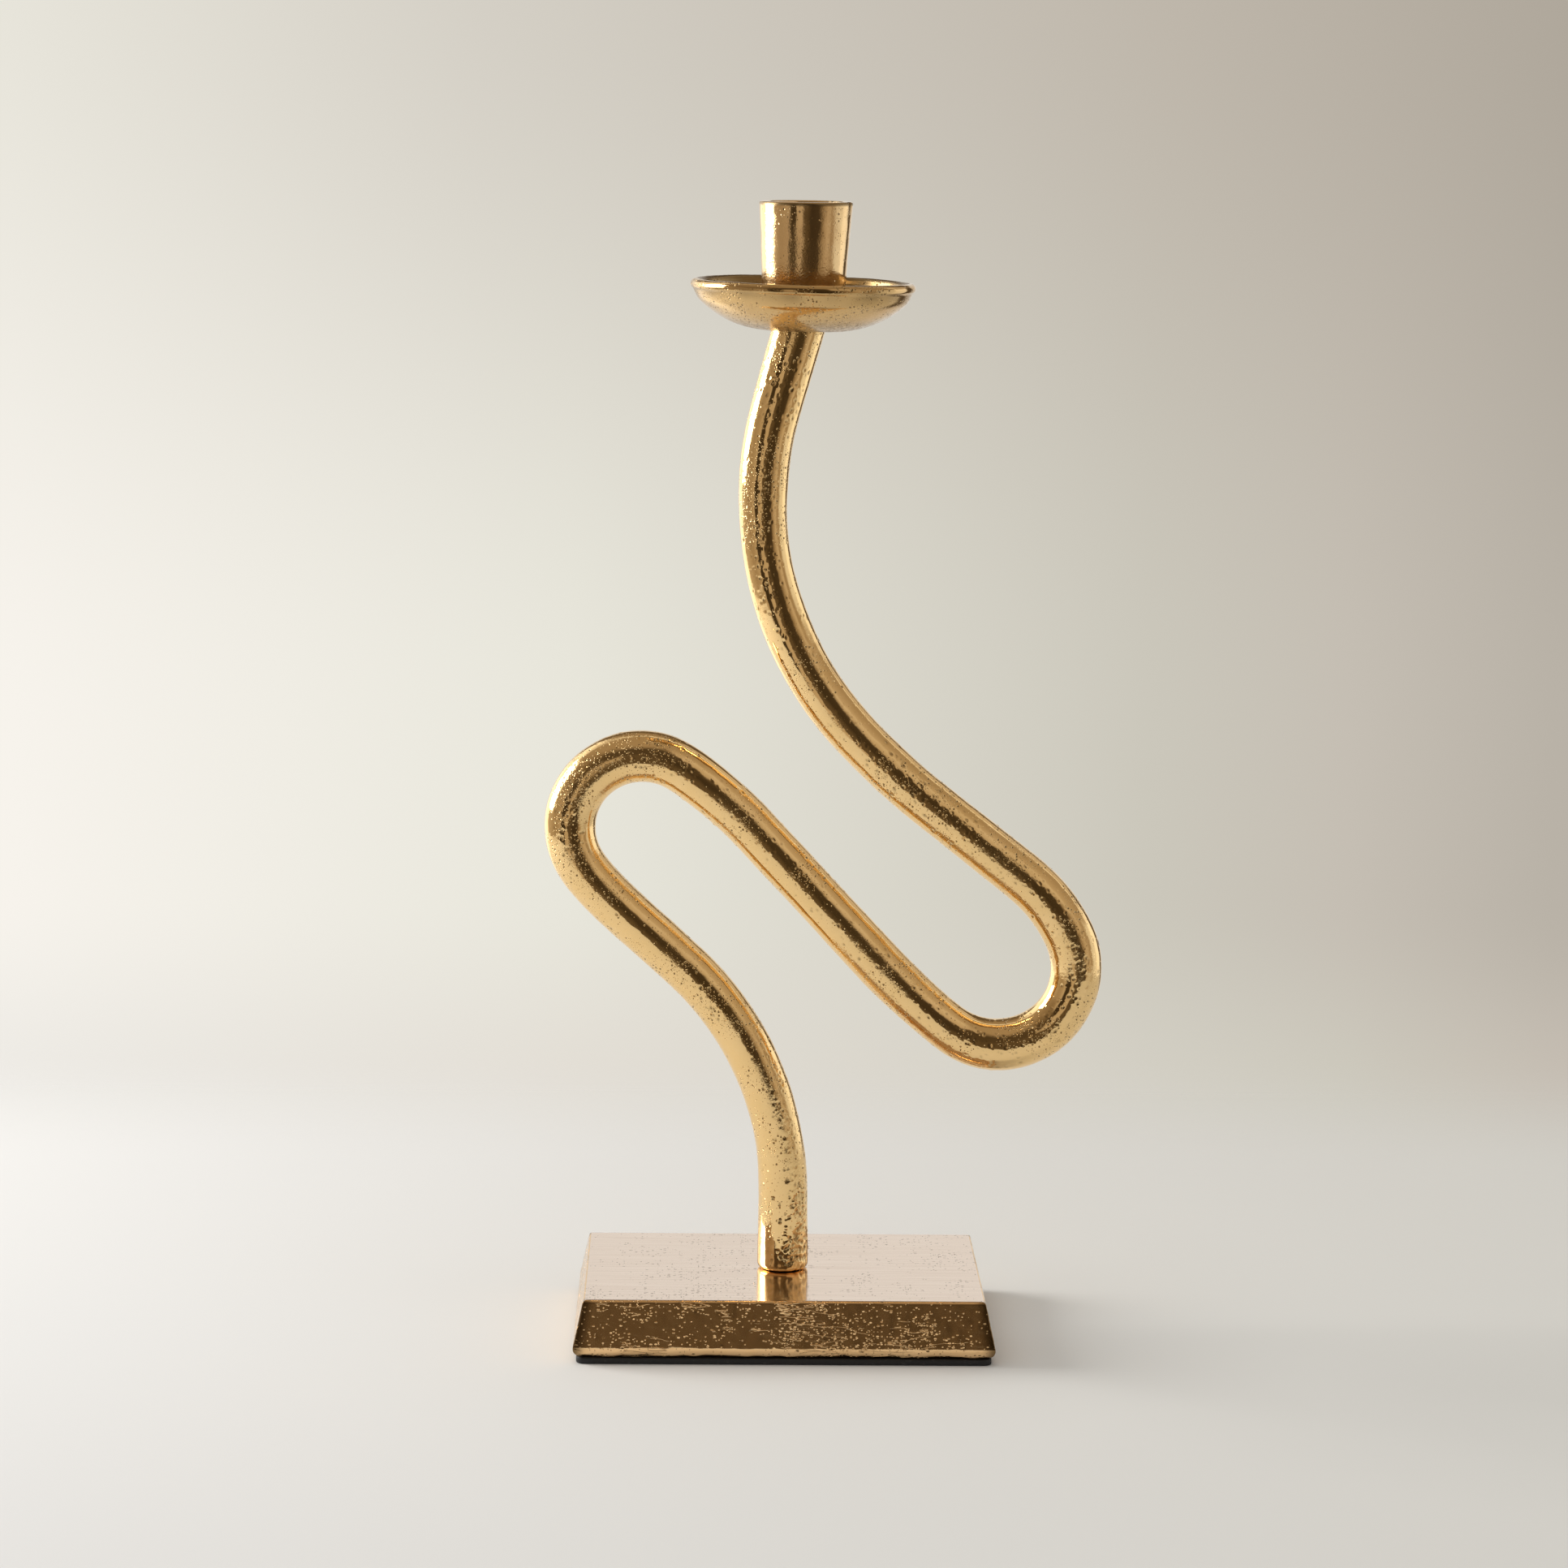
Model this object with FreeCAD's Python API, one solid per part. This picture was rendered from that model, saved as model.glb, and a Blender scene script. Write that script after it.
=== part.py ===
import FreeCAD, Part
import math
import os

# Taper candle holder in cast brass: a slab base, a round bar bent into two hairpins,
# a shallow drip pan and a tapered candle cup, with one screw at each end of the bar.
# Millimetres, +Z up, front towards -Y, origin at the middle of the pad's underside.

# Base plate: a slab whose sides lean in towards the top
BASE_LENGTH = 129.8             # at the bottom, before the edge under the sides is rounded
BASE_DEPTH = 85.2
BASE_THICKNESS = 17.4
BASE_LEAN = 2.9                 # how far each side leans in over the thickness
BASE_CORNER_RADIUS = 0.9        # plan corners at the top; the lean adds to it at the bottom
BASE_UNDER_RADIUS = 2.9
BASE_TOP_EDGE_RADIUS = 0.4

# Pad glued under the base
PAD_THICKNESS = 2.0
PAD_INSET = 2.4                 # in from the base's bottom outline
PAD_CORNER_RADIUS = 2.5

# Stem: a round bar, given as a route up from its foot; turns are to the left or to the right.
# Each share is part of the stem's height, and the run at the top closes that height.
STEM_HEIGHT = 291.95            # from the base's top to the pan's underside
BAR_RADIUS = 7.7
FOOT_EDGE_RADIUS = 1.8
FOOT_RUN_SHARE = 0.0822
SHIN_RADIUS_SHARE = 0.3357
SHIN_LEFT_DEG = 48.0
RISING_RUN_SHARE = 0.0873
EASE_RADIUS_SHARE = 0.3391
EASE_RIGHT_DEG = 9.0
LEFT_HAIRPIN_RADIUS_SHARE = 0.0754
LEFT_HAIRPIN_RIGHT_DEG = 163.0
SAG_RADIUS_SHARE = 0.4487
SAG_RIGHT_DEG = 13.0
FALLING_RUN_SHARE = 0.1935
SWEEP_RADIUS_SHARE = 0.6645
SWEEP_LEFT_DEG = 9.0
RIGHT_HAIRPIN_RADIUS_SHARE = 0.0822
RIGHT_HAIRPIN_LEFT_DEG = 153.0
CLOSING_RADIUS_SHARE = 0.1713
CLOSING_LEFT_DEG = 27.0
RETURN_RUN_SHARE = 0.1267
BACK_RADIUS_SHARE = 0.7193
BACK_RIGHT_DEG = 9.5
NECK_RADIUS_SHARE = 0.3562
NECK_RIGHT_DEG = 58.0

# Drip pan: a bowl with a flat foot, turned up at a shoulder and closed by a rolled lip
PAN_RADIUS = 34.0
PAN_DEPTH = 15.0
PAN_WALL = 2.8
PAN_LIP_RADIUS = 1.7
PAN_BOWL_RADIUS = 31.0
PAN_BOWL_DEG = 42.0             # slope where the bowl meets the shoulder
PAN_SHOULDER_RADIUS = 6.0
PAN_FLARE_DEG = 64.0            # slope of the wall above the shoulder
PAN_OFFSET = 1.4                # pan's axis, to the right of the middle of the stem's top
SEAT_HEIGHT = 0.8               # raised seat for the cup on the pan's floor
SEAT_MARGIN = 0.8

# Candle cup: a straight bore for a 22 mm taper, drawn in below to grip its butt
CUP_HEIGHT = 35.0
CUP_MOUTH_RADIUS = 14.1
CUP_FOOT_RADIUS = 12.1
CUP_FLOOR = 5.0
BORE_RADIUS = 11.3
BORE_DEPTH = 22.0
NOSE_RADIUS = 8.0               # at the bottom of the drawn-in part
MOUTH_EDGE_RADIUS = 0.6

# Countersunk screw down through cup and pan into the stem
CUP_SCREW_RADIUS = 2.5
CUP_SCREW_HEAD_RADIUS = 4.8
CUP_SCREW_HEAD_EDGE = 0.4       # straight rim of the head above its cone
CUP_SCREW_SUNK = 0.3
CUP_SCREW_ENGAGEMENT = 7.2
CUP_SOCKET_RADIUS = 1.7         # corner radius of the hexagonal socket
CUP_SOCKET_DEPTH = 1.6

# Hexagon screw up through the base into the stem, over a spring washer and a flat washer
BASE_SCREW_RADIUS = 3.0
BASE_SCREW_HEAD_RADIUS = 5.75   # over the corners
BASE_SCREW_HEAD_HEIGHT = 4.0
BASE_SCREW_ENGAGEMENT = 12.4
WASHER_RADIUS = 6.0
WASHER_THICKNESS = 1.6
SPRING_WASHER_RADIUS = 5.6
SPRING_WASHER_THICKNESS = 1.6
SPRING_SPLIT = 0.9
SPRING_SPLIT_SLANT_DEG = 25.0
RECESS_RADIUS = 9.0
RECESS_SPARE = 0.8              # the head stays this far up inside the recess

# Shared by both screws
THREAD_CLEARANCE = 0.1          # radial, in the tapped holes of the stem
HOLE_CLEARANCE = 0.3            # radial, in plain holes and washers
TAP_SPARE = 1.2                 # each tapped hole runs on past its screw
SCREW_TIP = 0.6                 # chamfer on a screw's end
OVERRUN = 5.0                   # cuts run this far past the faces that they open

FILLET_LIMIT_SHARE = 0.9        # largest part of a corner or wall that a fillet may take


def vector(x, z):
    """A point in the plane of the bar."""
    return FreeCAD.Vector(x, 0, z)


def step(size, heading):
    """A step of this size in the bar's plane, heading in degrees up from +X."""
    along = math.radians(heading)
    return vector(size * math.cos(along), size * math.sin(along))


def upright(radius, height, x, z):
    return Part.makeCylinder(radius, height, vector(x, z))


def arc_between(centre, radius, start, end):
    """Arc about centre, with its angles in degrees up from +X."""
    points = []
    for angle in (start, (start + end) / 2, end):
        points.append(centre + step(radius, angle))
    return Part.Arc(*points).toShape()


def line(start, end):
    return Part.LineSegment(start, end).toShape()


def turned(edges, x, z):
    """Solid of revolution of a closed outline about its own +Z axis, moved to its place."""
    solid = Part.Face(Part.Wire(edges)).revolve(vector(0, 0), vector(0, 1))
    solid.translate(vector(x, z))
    return solid


def outline(points):
    return [line(start, end) for start, end in zip(points, points[1:] + points[:1])]


def edges_at(solid, height):
    """Edges of the solid that lie wholly in the level plane at this height."""
    level = []
    for edge in solid.Edges:
        box = edge.BoundBox
        if max(abs(box.ZMin - height), abs(box.ZMax - height)) < OVERRUN / 1000:
            level.append(edge)
    return level


# Heights that several pieces share
BASE_BOTTOM = PAD_THICKNESS
BASE_TOP = BASE_BOTTOM + BASE_THICKNESS


def rounded_rectangle(length, depth, radius, height):
    right = length / 2 - radius
    back = depth / 2 - radius
    edges = []
    corners = [(right, back), (-right, back), (-right, -back), (right, -back)]
    for quarter, (x, y) in enumerate(corners):
        circle = Part.Circle(FreeCAD.Vector(x, y, height), FreeCAD.Vector(0, 0, 1), radius)
        start = quarter * math.pi / 2
        edges.append(Part.Arc(circle, start, start + math.pi / 2).toShape())
    sides = []
    for index, edge in enumerate(edges):
        following = edges[(index + 1) % len(edges)]
        sides.append(edge)
        sides.append(line(edge.lastVertex().Point, following.firstVertex().Point))
    return Part.Wire(sides)


def base_pad():
    length = BASE_LENGTH - 2 * PAD_INSET
    depth = BASE_DEPTH - 2 * PAD_INSET
    sheet = Part.Face(rounded_rectangle(length, depth, PAD_CORNER_RADIUS, 0))
    return sheet.extrude(FreeCAD.Vector(0, 0, PAD_THICKNESS))


def recess_depth():
    stack = WASHER_THICKNESS + SPRING_WASHER_THICKNESS + BASE_SCREW_HEAD_HEIGHT
    return stack + RECESS_SPARE


def base_plate():
    bottom_corner = BASE_CORNER_RADIUS + BASE_LEAN
    bottom = rounded_rectangle(BASE_LENGTH, BASE_DEPTH, bottom_corner, BASE_BOTTOM)
    top_length = BASE_LENGTH - 2 * BASE_LEAN
    top_depth = BASE_DEPTH - 2 * BASE_LEAN
    top = rounded_rectangle(top_length, top_depth, BASE_CORNER_RADIUS, BASE_TOP)
    slab = Part.makeLoft([bottom, top], True, True)
    under = min(BASE_UNDER_RADIUS, FILLET_LIMIT_SHARE * bottom_corner)
    slab = slab.makeFillet(under, edges_at(slab, BASE_BOTTOM))
    broken = min(BASE_TOP_EDGE_RADIUS, FILLET_LIMIT_SHARE * BASE_CORNER_RADIUS)
    slab = slab.makeFillet(broken, edges_at(slab, BASE_TOP))
    recess = upright(RECESS_RADIUS, recess_depth() + OVERRUN, 0, BASE_BOTTOM - OVERRUN)
    hole_height = BASE_THICKNESS + 2 * OVERRUN
    hole = upright(BASE_SCREW_RADIUS + HOLE_CLEARANCE, hole_height, 0, BASE_BOTTOM - OVERRUN)
    return slab.cut(recess).cut(hole)


# The stem's route: a run has a length, a bend has a radius and a turn with left positive
STEM_ROUTE = [
    (FOOT_RUN_SHARE, None),
    (SHIN_RADIUS_SHARE, SHIN_LEFT_DEG),
    (RISING_RUN_SHARE, None),
    (EASE_RADIUS_SHARE, -EASE_RIGHT_DEG),
    (LEFT_HAIRPIN_RADIUS_SHARE, -LEFT_HAIRPIN_RIGHT_DEG),
    (SAG_RADIUS_SHARE, -SAG_RIGHT_DEG),
    (FALLING_RUN_SHARE, None),
    (SWEEP_RADIUS_SHARE, SWEEP_LEFT_DEG),
    (RIGHT_HAIRPIN_RADIUS_SHARE, RIGHT_HAIRPIN_LEFT_DEG),
    (CLOSING_RADIUS_SHARE, CLOSING_LEFT_DEG),
    (RETURN_RUN_SHARE, None),
    (BACK_RADIUS_SHARE, -BACK_RIGHT_DEG),
    (NECK_RADIUS_SHARE, -NECK_RIGHT_DEG),
]


def stem_centreline():
    """Edges of the route from the foot up, the point where it ends and its last direction."""
    point = vector(0, BASE_TOP)
    heading = 90
    edges = []
    for share, turn in STEM_ROUTE:
        size = share * STEM_HEIGHT
        if turn is None:
            end = point + step(size, heading)
            edges.append(line(point, end))
        else:
            side = math.copysign(90, turn)
            centre = point + step(size, heading + side)
            edges.append(arc_between(centre, size, heading - side, heading - side + turn))
            end = edges[-1].lastVertex().Point
            heading += turn
        point = end
    rise_left = BASE_TOP + STEM_HEIGHT - point.z
    end = point + step(rise_left / math.sin(math.radians(heading)), heading)
    return edges + [line(point, end)], end, heading


ROUTE_EDGES, STEM_END, STEM_HEADING_DEG = stem_centreline()
PAN_X = STEM_END.x + PAN_OFFSET
PAN_Z = STEM_END.z
SEAT_Z = PAN_Z + PAN_WALL + SEAT_HEIGHT
CUP_FLOOR_Z = SEAT_Z + CUP_FLOOR
CUP_TOP = SEAT_Z + CUP_HEIGHT


def stem():
    """The bar runs on past its end and is then cut level, as the pan needs a level seat."""
    spare = BAR_RADIUS + OVERRUN
    past_end = STEM_END + step(spare, STEM_HEADING_DEG)
    spine = Part.Wire(ROUTE_EDGES + [line(STEM_END, past_end)])
    section = Part.Wire(Part.makeCircle(BAR_RADIUS, vector(0, BASE_TOP)))
    bar = spine.makePipeShell([section], True, False)
    above = Part.makeBox(4 * BAR_RADIUS, 4 * BAR_RADIUS, 4 * spare)
    above.translate(STEM_END - FreeCAD.Vector(2 * BAR_RADIUS, 2 * BAR_RADIUS, 0))
    bar = bar.cut(above)
    bar = bar.makeFillet(FOOT_EDGE_RADIUS, edges_at(bar, BASE_TOP))
    foot_depth = BASE_SCREW_ENGAGEMENT + TAP_SPARE
    foot_hole = upright(BASE_SCREW_RADIUS + THREAD_CLEARANCE, foot_depth + OVERRUN, 0, BASE_TOP - OVERRUN)
    top_depth = CUP_SCREW_ENGAGEMENT + TAP_SPARE
    top_radius = CUP_SCREW_RADIUS + THREAD_CLEARANCE
    top_hole = upright(top_radius, top_depth + OVERRUN, PAN_X, STEM_END.z - top_depth)
    return bar.cut(foot_hole).cut(top_hole)


def pan_side(inset):
    """Foot radius, then the bowl, shoulder and wall of the pan, this far inside its outer face."""
    bowl = math.radians(PAN_BOWL_DEG)
    flare = math.radians(PAN_FLARE_DEG)
    lip_height = PAN_DEPTH - PAN_LIP_RADIUS
    half = PAN_WALL / 2
    between = PAN_BOWL_RADIUS - PAN_SHOULDER_RADIUS
    shoulder_z = PAN_BOWL_RADIUS - between * math.cos(bowl)
    wall_foot_z = shoulder_z - (PAN_SHOULDER_RADIUS - half) * math.cos(flare)
    wall = (lip_height - wall_foot_z) / math.sin(flare)
    flare_reach = wall * math.cos(flare) + (PAN_SHOULDER_RADIUS - half) * math.sin(flare)
    shoulder_x = PAN_RADIUS - PAN_LIP_RADIUS - flare_reach
    foot_radius = shoulder_x - between * math.sin(bowl)
    bowl_centre = vector(foot_radius, PAN_BOWL_RADIUS)
    shoulder_centre = vector(shoulder_x, shoulder_z)
    bowl_arc = arc_between(bowl_centre, PAN_BOWL_RADIUS - inset, -90, PAN_BOWL_DEG - 90)
    shoulder_arc = arc_between(
        shoulder_centre, PAN_SHOULDER_RADIUS - inset, PAN_BOWL_DEG - 90, PAN_FLARE_DEG - 90)
    wall_foot = shoulder_arc.lastVertex().Point
    wall_top = wall_foot + vector(wall * math.cos(flare), wall * math.sin(flare))
    return foot_radius, [bowl_arc, shoulder_arc, line(wall_foot, wall_top)]


def drip_pan():
    foot_radius, outside = pan_side(0)
    inside = pan_side(PAN_WALL)[1]
    lip = line(outside[-1].lastVertex().Point, inside[-1].lastVertex().Point)
    underside = line(vector(0, 0), vector(foot_radius, 0))
    floor = line(vector(foot_radius, PAN_WALL), vector(0, PAN_WALL))
    axis = line(vector(0, PAN_WALL), vector(0, 0))
    pan = turned([underside] + outside + [lip] + inside[::-1] + [floor, axis], PAN_X, PAN_Z)
    lip_centre = vector(PAN_X, PAN_Z + PAN_DEPTH - PAN_LIP_RADIUS)
    rolled = Part.makeTorus(PAN_RADIUS - PAN_LIP_RADIUS, PAN_LIP_RADIUS, lip_centre)
    seat = upright(CUP_FOOT_RADIUS + SEAT_MARGIN, SEAT_HEIGHT + PAN_WALL / 2, PAN_X, PAN_Z + PAN_WALL / 2)
    hole = upright(CUP_SCREW_RADIUS + HOLE_CLEARANCE, PAN_DEPTH + OVERRUN, PAN_X, PAN_Z - OVERRUN)
    return pan.fuse([rolled, seat]).removeSplitter().cut(hole)


def cone_depth():
    """Depth of the screw head's cone, which slopes at 45 degrees."""
    return CUP_SCREW_HEAD_RADIUS - CUP_SCREW_RADIUS


def candle_cup():
    profile = outline([
        vector(0, 0),
        vector(CUP_FOOT_RADIUS, 0),
        vector(CUP_MOUTH_RADIUS, CUP_HEIGHT),
        vector(BORE_RADIUS, CUP_HEIGHT),
        vector(BORE_RADIUS, CUP_HEIGHT - BORE_DEPTH),
        vector(NOSE_RADIUS, CUP_FLOOR),
        vector(0, CUP_FLOOR),
    ])
    cup = turned(profile, PAN_X, SEAT_Z)
    wall = CUP_MOUTH_RADIUS - BORE_RADIUS
    cup = cup.makeFillet(min(MOUTH_EDGE_RADIUS, FILLET_LIMIT_SHARE * wall / 2), edges_at(cup, CUP_TOP))
    head_foot = CUP_FLOOR_Z - CUP_SCREW_SUNK - CUP_SCREW_HEAD_EDGE
    mouth = upright(CUP_SCREW_HEAD_RADIUS, CUP_FLOOR, PAN_X, head_foot)
    sink = Part.makeCone(CUP_SCREW_RADIUS, CUP_SCREW_HEAD_RADIUS, cone_depth())
    sink.translate(vector(PAN_X, head_foot - cone_depth()))
    hole = upright(CUP_SCREW_RADIUS + HOLE_CLEARANCE, CUP_FLOOR + OVERRUN, PAN_X, SEAT_Z - OVERRUN)
    return cup.cut(mouth).cut(sink).cut(hole)


def hexagon(radius, height, x, z):
    points = []
    for corner in range(6):
        turn = math.radians(60 * corner)
        points.append(FreeCAD.Vector(x + radius * math.cos(turn), radius * math.sin(turn), z))
    wire = Part.makePolygon(points + points[:1])
    return Part.Face(wire).extrude(FreeCAD.Vector(0, 0, height))


def cup_screw():
    tip = PAN_Z - CUP_SCREW_ENGAGEMENT
    head_top = CUP_FLOOR_Z - CUP_SCREW_SUNK
    head_foot = head_top - CUP_SCREW_HEAD_EDGE
    screw = turned(outline([
        vector(0, tip),
        vector(CUP_SCREW_RADIUS - SCREW_TIP, tip),
        vector(CUP_SCREW_RADIUS, tip + SCREW_TIP),
        vector(CUP_SCREW_RADIUS, head_foot - cone_depth()),
        vector(CUP_SCREW_HEAD_RADIUS, head_foot),
        vector(CUP_SCREW_HEAD_RADIUS, head_top),
        vector(0, head_top),
    ]), PAN_X, 0)
    socket = hexagon(CUP_SOCKET_RADIUS, CUP_SOCKET_DEPTH + OVERRUN, PAN_X, head_top - CUP_SOCKET_DEPTH)
    return screw.cut(socket)


# Stack of the base screw, from the recess's face down
WASHER_Z = BASE_BOTTOM + recess_depth() - WASHER_THICKNESS
SPRING_WASHER_Z = WASHER_Z - SPRING_WASHER_THICKNESS
HEAD_Z = SPRING_WASHER_Z - BASE_SCREW_HEAD_HEIGHT


def washer(radius, thickness, z):
    bore = upright(BASE_SCREW_RADIUS + HOLE_CLEARANCE, thickness + 2 * OVERRUN, 0, z - OVERRUN)
    return upright(radius, thickness, 0, z).cut(bore)


def base_washer():
    return washer(WASHER_RADIUS, WASHER_THICKNESS, WASHER_Z)


def base_spring_washer():
    ring = washer(SPRING_WASHER_RADIUS, SPRING_WASHER_THICKNESS, SPRING_WASHER_Z)
    reach = SPRING_WASHER_RADIUS + OVERRUN
    split = Part.makeBox(reach, SPRING_SPLIT, 2 * reach)
    split.translate(FreeCAD.Vector(0, -SPRING_SPLIT / 2, -reach))
    split.rotate(FreeCAD.Vector(0, 0, 0), FreeCAD.Vector(1, 0, 0), SPRING_SPLIT_SLANT_DEG)
    split.translate(vector(0, SPRING_WASHER_Z + SPRING_WASHER_THICKNESS / 2))
    return ring.cut(split)


def base_screw():
    tip = BASE_TOP + BASE_SCREW_ENGAGEMENT
    shank = turned(outline([
        vector(0, HEAD_Z),
        vector(BASE_SCREW_RADIUS, HEAD_Z),
        vector(BASE_SCREW_RADIUS, tip - SCREW_TIP),
        vector(BASE_SCREW_RADIUS - SCREW_TIP, tip),
        vector(0, tip),
    ]), 0, 0)
    return shank.fuse(hexagon(BASE_SCREW_HEAD_RADIUS, BASE_SCREW_HEAD_HEIGHT, 0, HEAD_Z))


PIECES = {
    "base_pad": base_pad,
    "base_plate": base_plate,
    "base_washer": base_washer,
    "base_spring_washer": base_spring_washer,
    "base_screw": base_screw,
    "stem": stem,
    "drip_pan": drip_pan,
    "candle_cup": candle_cup,
    "cup_screw": cup_screw,
}

os.makedirs("parts", exist_ok=True)
for name, make in PIECES.items():
    shape = make()
    shape.exportStep("parts/" + name + ".step")
    print(name, "solids", len(shape.Solids), "valid", shape.isValid(), "volume", round(shape.Volume))
print("stem ends at", STEM_END, "heading", STEM_HEADING_DEG)
print("pan axis at x", PAN_X, "cup top at z", CUP_TOP)
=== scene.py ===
import math
import random

import bmesh
import bpy
from mathutils import Matrix, Vector, noise


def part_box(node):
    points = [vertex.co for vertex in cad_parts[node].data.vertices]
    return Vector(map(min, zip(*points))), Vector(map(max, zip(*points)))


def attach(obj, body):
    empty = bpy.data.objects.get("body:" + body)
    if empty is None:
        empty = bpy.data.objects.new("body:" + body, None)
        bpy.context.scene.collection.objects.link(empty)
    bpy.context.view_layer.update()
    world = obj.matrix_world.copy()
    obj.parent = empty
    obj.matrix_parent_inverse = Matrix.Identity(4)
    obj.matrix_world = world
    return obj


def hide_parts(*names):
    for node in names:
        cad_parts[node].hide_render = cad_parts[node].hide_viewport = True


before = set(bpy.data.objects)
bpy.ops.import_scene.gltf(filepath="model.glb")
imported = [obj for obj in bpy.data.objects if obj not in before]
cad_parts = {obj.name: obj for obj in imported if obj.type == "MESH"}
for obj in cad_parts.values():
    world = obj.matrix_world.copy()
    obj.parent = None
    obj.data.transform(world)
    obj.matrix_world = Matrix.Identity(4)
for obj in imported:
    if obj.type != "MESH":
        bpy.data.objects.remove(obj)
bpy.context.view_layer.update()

scene = bpy.context.scene
scene.view_settings.view_transform = "Standard"
mm = 0.001


# Small helpers for node trees

def srgb(red, green, blue):
    def linear(step):
        share = step / 255
        return share / 12.92 if share <= 0.04045 else ((share + 0.055) / 1.055) ** 2.4
    return (linear(red), linear(green), linear(blue), 1.0)


def addNode(tree, kind, options=None, inputs=None):
    made = tree.nodes.new(kind)
    for key, value in (options or {}).items():
        setattr(made, key, value)
    for key, value in (inputs or {}).items():
        if isinstance(value, bpy.types.NodeSocket):
            tree.links.new(value, made.inputs[key])
        else:
            made.inputs[key].default_value = value
    return made


def mixColour(tree, amount, first, second):
    made = addNode(tree, "ShaderNodeMix", {"data_type": "RGBA"}, {0: amount, 6: first, 7: second})
    return made.outputs[2]


def stretch(tree, value, low, high, toLow=0.0, toHigh=1.0, smooth=True):
    kind = "SMOOTHSTEP" if smooth else "LINEAR"
    made = addNode(tree, "ShaderNodeMapRange", {"interpolation_type": kind},
                   {0: value, 1: low, 2: high, 3: toLow, 4: toHigh})
    return made.outputs[0]


def calculate(tree, operation, first, second=0.0):
    made = addNode(tree, "ShaderNodeMath", {"operation": operation}, {0: first, 1: second})
    return made.outputs[0]


def times(tree, first, second):
    return calculate(tree, "MULTIPLY", first, second)


def most(tree, first, second):
    return calculate(tree, "MAXIMUM", first, second)


def clouds(tree, place, size, detail=2.0, roughness=0.5):
    made = addNode(tree, "ShaderNodeTexNoise", None,
                   {"Vector": place, "Scale": 1 / size, "Detail": detail, "Roughness": roughness})
    return made.outputs[0]


def colourSteps(tree, value, steps):
    made = addNode(tree, "ShaderNodeValToRGB", None, {0: value})
    band = made.color_ramp
    while len(band.elements) < len(steps):
        band.elements.new(0.5)
    for element, (position, colour) in zip(band.elements, steps):
        element.position = position
        element.color = colour
    return made.outputs[0]


def raised(tree, height, depth, strength=1.0, normal=None, sunk=False):
    inputs = {"Strength": strength, "Distance": depth, "Height": height}
    if normal is not None:
        inputs["Normal"] = normal
    return addNode(tree, "ShaderNodeBump", {"invert": sunk}, inputs).outputs[0]


def newMaterial(name):
    material = bpy.data.materials.new(name)
    material.use_nodes = True
    tree = material.node_tree
    place = addNode(tree, "ShaderNodeTexCoord").outputs["Object"]
    return material, tree, tree.nodes["Principled BSDF"], place


def connectShader(tree, shader, colour, roughness, normal, metallic=1.0):
    tree.links.new(colour, shader.inputs["Base Color"])
    tree.links.new(roughness, shader.inputs["Roughness"])
    tree.links.new(normal, shader.inputs["Normal"])
    shader.inputs["Metallic"].default_value = metallic


def rescaled(tree, place, scale):
    return addNode(tree, "ShaderNodeMapping", None, {"Vector": place, "Scale": scale}).outputs[0]


# Pits and grains both sit in the cells of a Voronoi pattern

pitEdge = (0.10, 0.36)      # a pit fades out between these distances from its middle
grainEdge = (0.30, 0.46)    # and a leaning grain between these


def pitMask(tree, place, size, share):
    cells = addNode(tree, "ShaderNodeTexVoronoi", None, {"Vector": place, "Scale": 1 / size})
    chance = addNode(tree, "ShaderNodeSeparateColor", None, {0: cells.outputs["Color"]}).outputs[0]
    here = calculate(tree, "GREATER_THAN", share, chance)
    return times(tree, stretch(tree, cells.outputs["Distance"], *pitEdge, 1, 0), here)


def leanGrains(tree, place, size, share, lean, down=0.0):
    cells = addNode(tree, "ShaderNodeTexVoronoi", None, {"Vector": place, "Scale": 1 / size})
    colour = cells.outputs["Color"]
    blue = addNode(tree, "ShaderNodeSeparateColor", None, {0: colour}).outputs[2]
    shuffle = 17.0      # makes the chance of a grain independent of the way it leans
    chance = calculate(tree, "FRACT", times(tree, blue, shuffle))
    here = calculate(tree, "GREATER_THAN", share, chance)
    facet = times(tree, stretch(tree, cells.outputs["Distance"], *grainEdge, lean, 0), here)

    def vector(operation, inputs):
        return addNode(tree, "ShaderNodeVectorMath", {"operation": operation}, inputs).outputs[0]

    tilt = vector("SUBTRACT", {0: colour, 1: (0.5, 0.5, 0.5 + down)})
    tilt = vector("SCALE", {0: tilt, "Scale": facet})
    normal = addNode(tree, "ShaderNodeNewGeometry").outputs["Normal"]
    return vector("NORMALIZE", {0: vector("ADD", {0: normal, 1: tilt})})


# Finishes. Sizes are in metres on the object; a range of four numbers turns
# noise between the first two into a share between the last two.

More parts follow.
